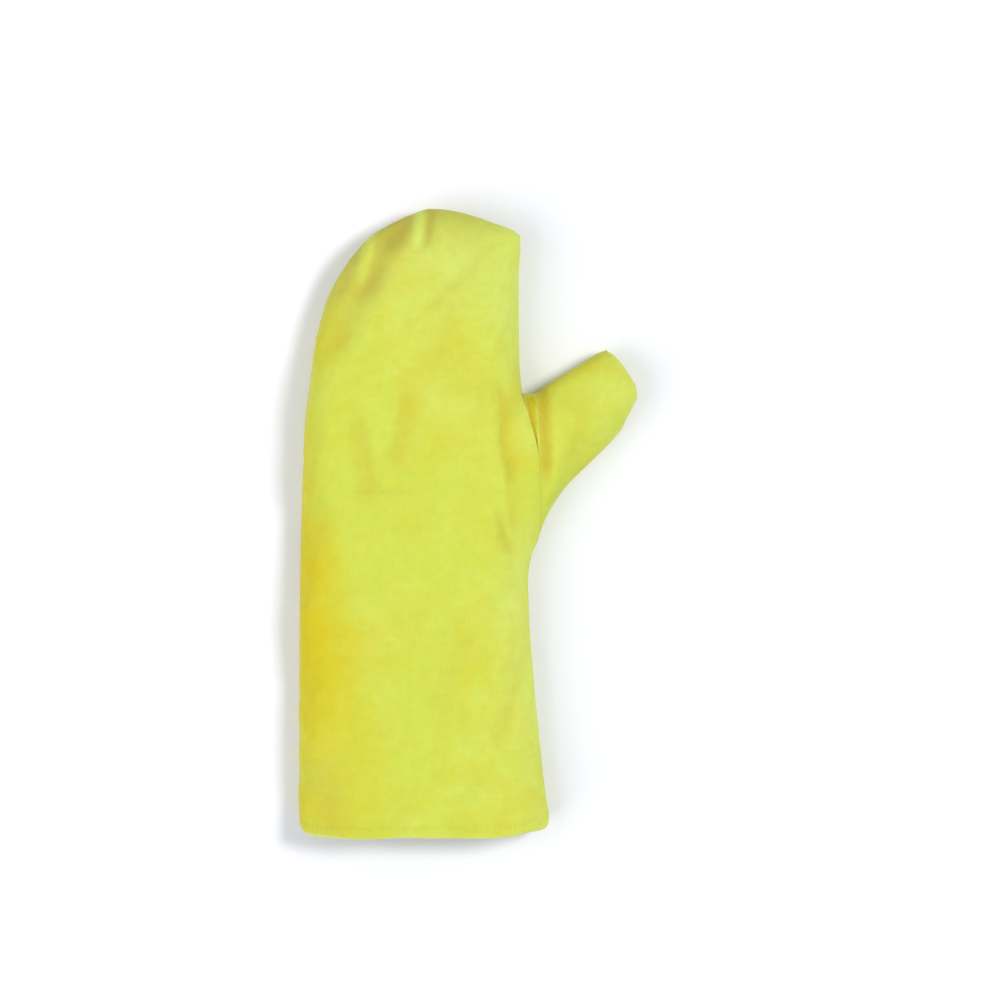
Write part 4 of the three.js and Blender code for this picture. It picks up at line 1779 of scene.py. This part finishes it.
@dataclass
class Studio:
    """A pale floor, soft light from the upper right, and a camera straight above."""

    camera_place: tuple[float, float, float] = (mm(20.1), mm(15.8), mm(2661))
    lens: float = 150.0
    floor_size: float = 8.0
    floor_gap: float = mm(0.2)
    floor_colour: str = "#F1F1F5"
    # Columns: name, place, length of the sides, watts.
    lights: tuple[tuple[str, tuple[float, float, float], float, float], ...] = (
        ("key", (1.7, 0.55, 2.4), 0.8, 50.5),
        ("fill", (-2.3, -0.8, 2.0), 3.0, 62.0),
    )
    sky_colour: str = "#F4F7FF"
    sky_strength: float = 0.47

    def build(self) -> None:
        """Puts up the floor, the lights and the camera."""
        self.add_floor()
        for light in self.lights:
            self.add_light(*light)
        self.add_sky()
        self.add_camera()

    def add_floor(self) -> None:
        """Lays the floor just under the palm."""
        bm = bmesh.new()
        bmesh.ops.create_grid(bm, x_segments=2, y_segments=2, size=self.floor_size / 2)
        bmesh.ops.translate(bm, vec=(0, 0, -self.floor_gap), verts=bm.verts[:])
        floor = object_of(bm, "floor")
        material = bpy.data.materials.new("white_paper_sweep")
        material.use_nodes = True
        shader = material.node_tree.nodes["Principled BSDF"]
        shader.inputs["Base Color"].default_value = linear(self.floor_colour)
        shader.inputs["Roughness"].default_value = 0.9
        shader.inputs["Specular IOR Level"].default_value = 0.1
        floor.data.materials.append(material)

    def add_light(self, name: str, place: tuple[float, float, float], size: float, power: float) -> None:
        """Hangs a square soft light that looks at the mitten.

        Args:
            name: The light's name.
            place: Where it hangs.
            size: The length of its sides.
            power: Its power in watts.
        """
        light = bpy.data.lights.new(name, "AREA")
        light.size = size
        light.energy = power
        lamp = linked(name, light)
        lamp.location = place
        lamp.rotation_euler = (-Vector(place)).to_track_quat("-Z", "Y").to_euler()

    def add_sky(self) -> None:
        """Fills in from all sides with plain, nearly white light."""
        world = bpy.data.worlds.new("studio")
        world.use_nodes = True
        background = world.node_tree.nodes["Background"]
        background.inputs["Color"].default_value = linear(self.sky_colour)
        background.inputs["Strength"].default_value = self.sky_strength
        bpy.context.scene.world = world
        bpy.context.scene.view_settings.view_transform = "Standard"

    def add_camera(self) -> None:
        """Hangs the camera above the mitten, with the fingertips at the top of the picture."""
        camera = bpy.data.cameras.new("camera")
        camera.lens = self.lens
        camera.sensor_width = 36.0
        camera.clip_end = 20.0
        seen = linked("camera", camera)
        seen.location = self.camera_place
        bpy.context.scene.camera = seen


def one_side(cloth: ClothGrid) -> float:
    """Measures the outside of a piece of cloth, in square metres.

    Args:
        cloth: The piece's grid.

    Returns:
        Its area.
    """
    across = np.diff(cloth.outer, axis=1)[:-1]
    along = np.diff(cloth.outer, axis=0)[:, :-1]
    return float(np.linalg.norm(np.cross(across, along), axis=-1).sum())


def main() -> None:
    """Builds the mitten and its studio."""
    logging.basicConfig(level=logging.INFO, format="%(name)s: %(message)s")
    form = MittenForm()
    shell = AramidWeave("plain_woven_aramid").make()
    folded = AramidWeave("folded_aramid_edge", patches=0.35).make()
    thread = SewingThread("twisted_aramid_thread").make()

    back = HandPanel(form, side=Side.UPPER, mouth_points=MOUTH_OF_BACK)
    palm = HandPanel(form, side=Side.LOWER, mouth_points=MOUTH_OF_PALM, settling=Settling(pressure=-0.3))
    upper, lower, thumb_cloth = back.grid(), palm.grid(), Thumb(form).grid()
    hem = CuffHem(form, back, palm)
    hem_cloth = hem.grid(upper, lower)

    back_panel = wall_object("back_of_the_mitten", upper)
    palm_panel = wall_object("palm_of_the_mitten", lower)
    thumb = wall_object("thumb_of_the_mitten", thumb_cloth)
    cuff_hem = hem.build("hem_of_the_cuff", hem_cloth)
    stitches = HemStitches().build("stitches_of_the_hem", hem, hem_cloth)

    for piece, node, finish, slot in (
        (back_panel, "back_panel", shell, "aramid_cloth"),
        (palm_panel, "palm_panel", shell, "aramid_cloth"),
        (thumb, "thumb", shell, "aramid_cloth"),
        (cuff_hem, "cuff_hem", folded, "aramid_hem"),
    ):
        piece.data.materials.append(finish)
        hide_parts(node)
    stitches.data.materials.append(thread)

    for name, cloth in (("back", upper), ("palm", lower), ("thumb", thumb_cloth)):
        LOG.info("%s: %.4f square metres on one side", name, one_side(cloth))
    Studio().build()


if __name__ == "__main__":
    main()
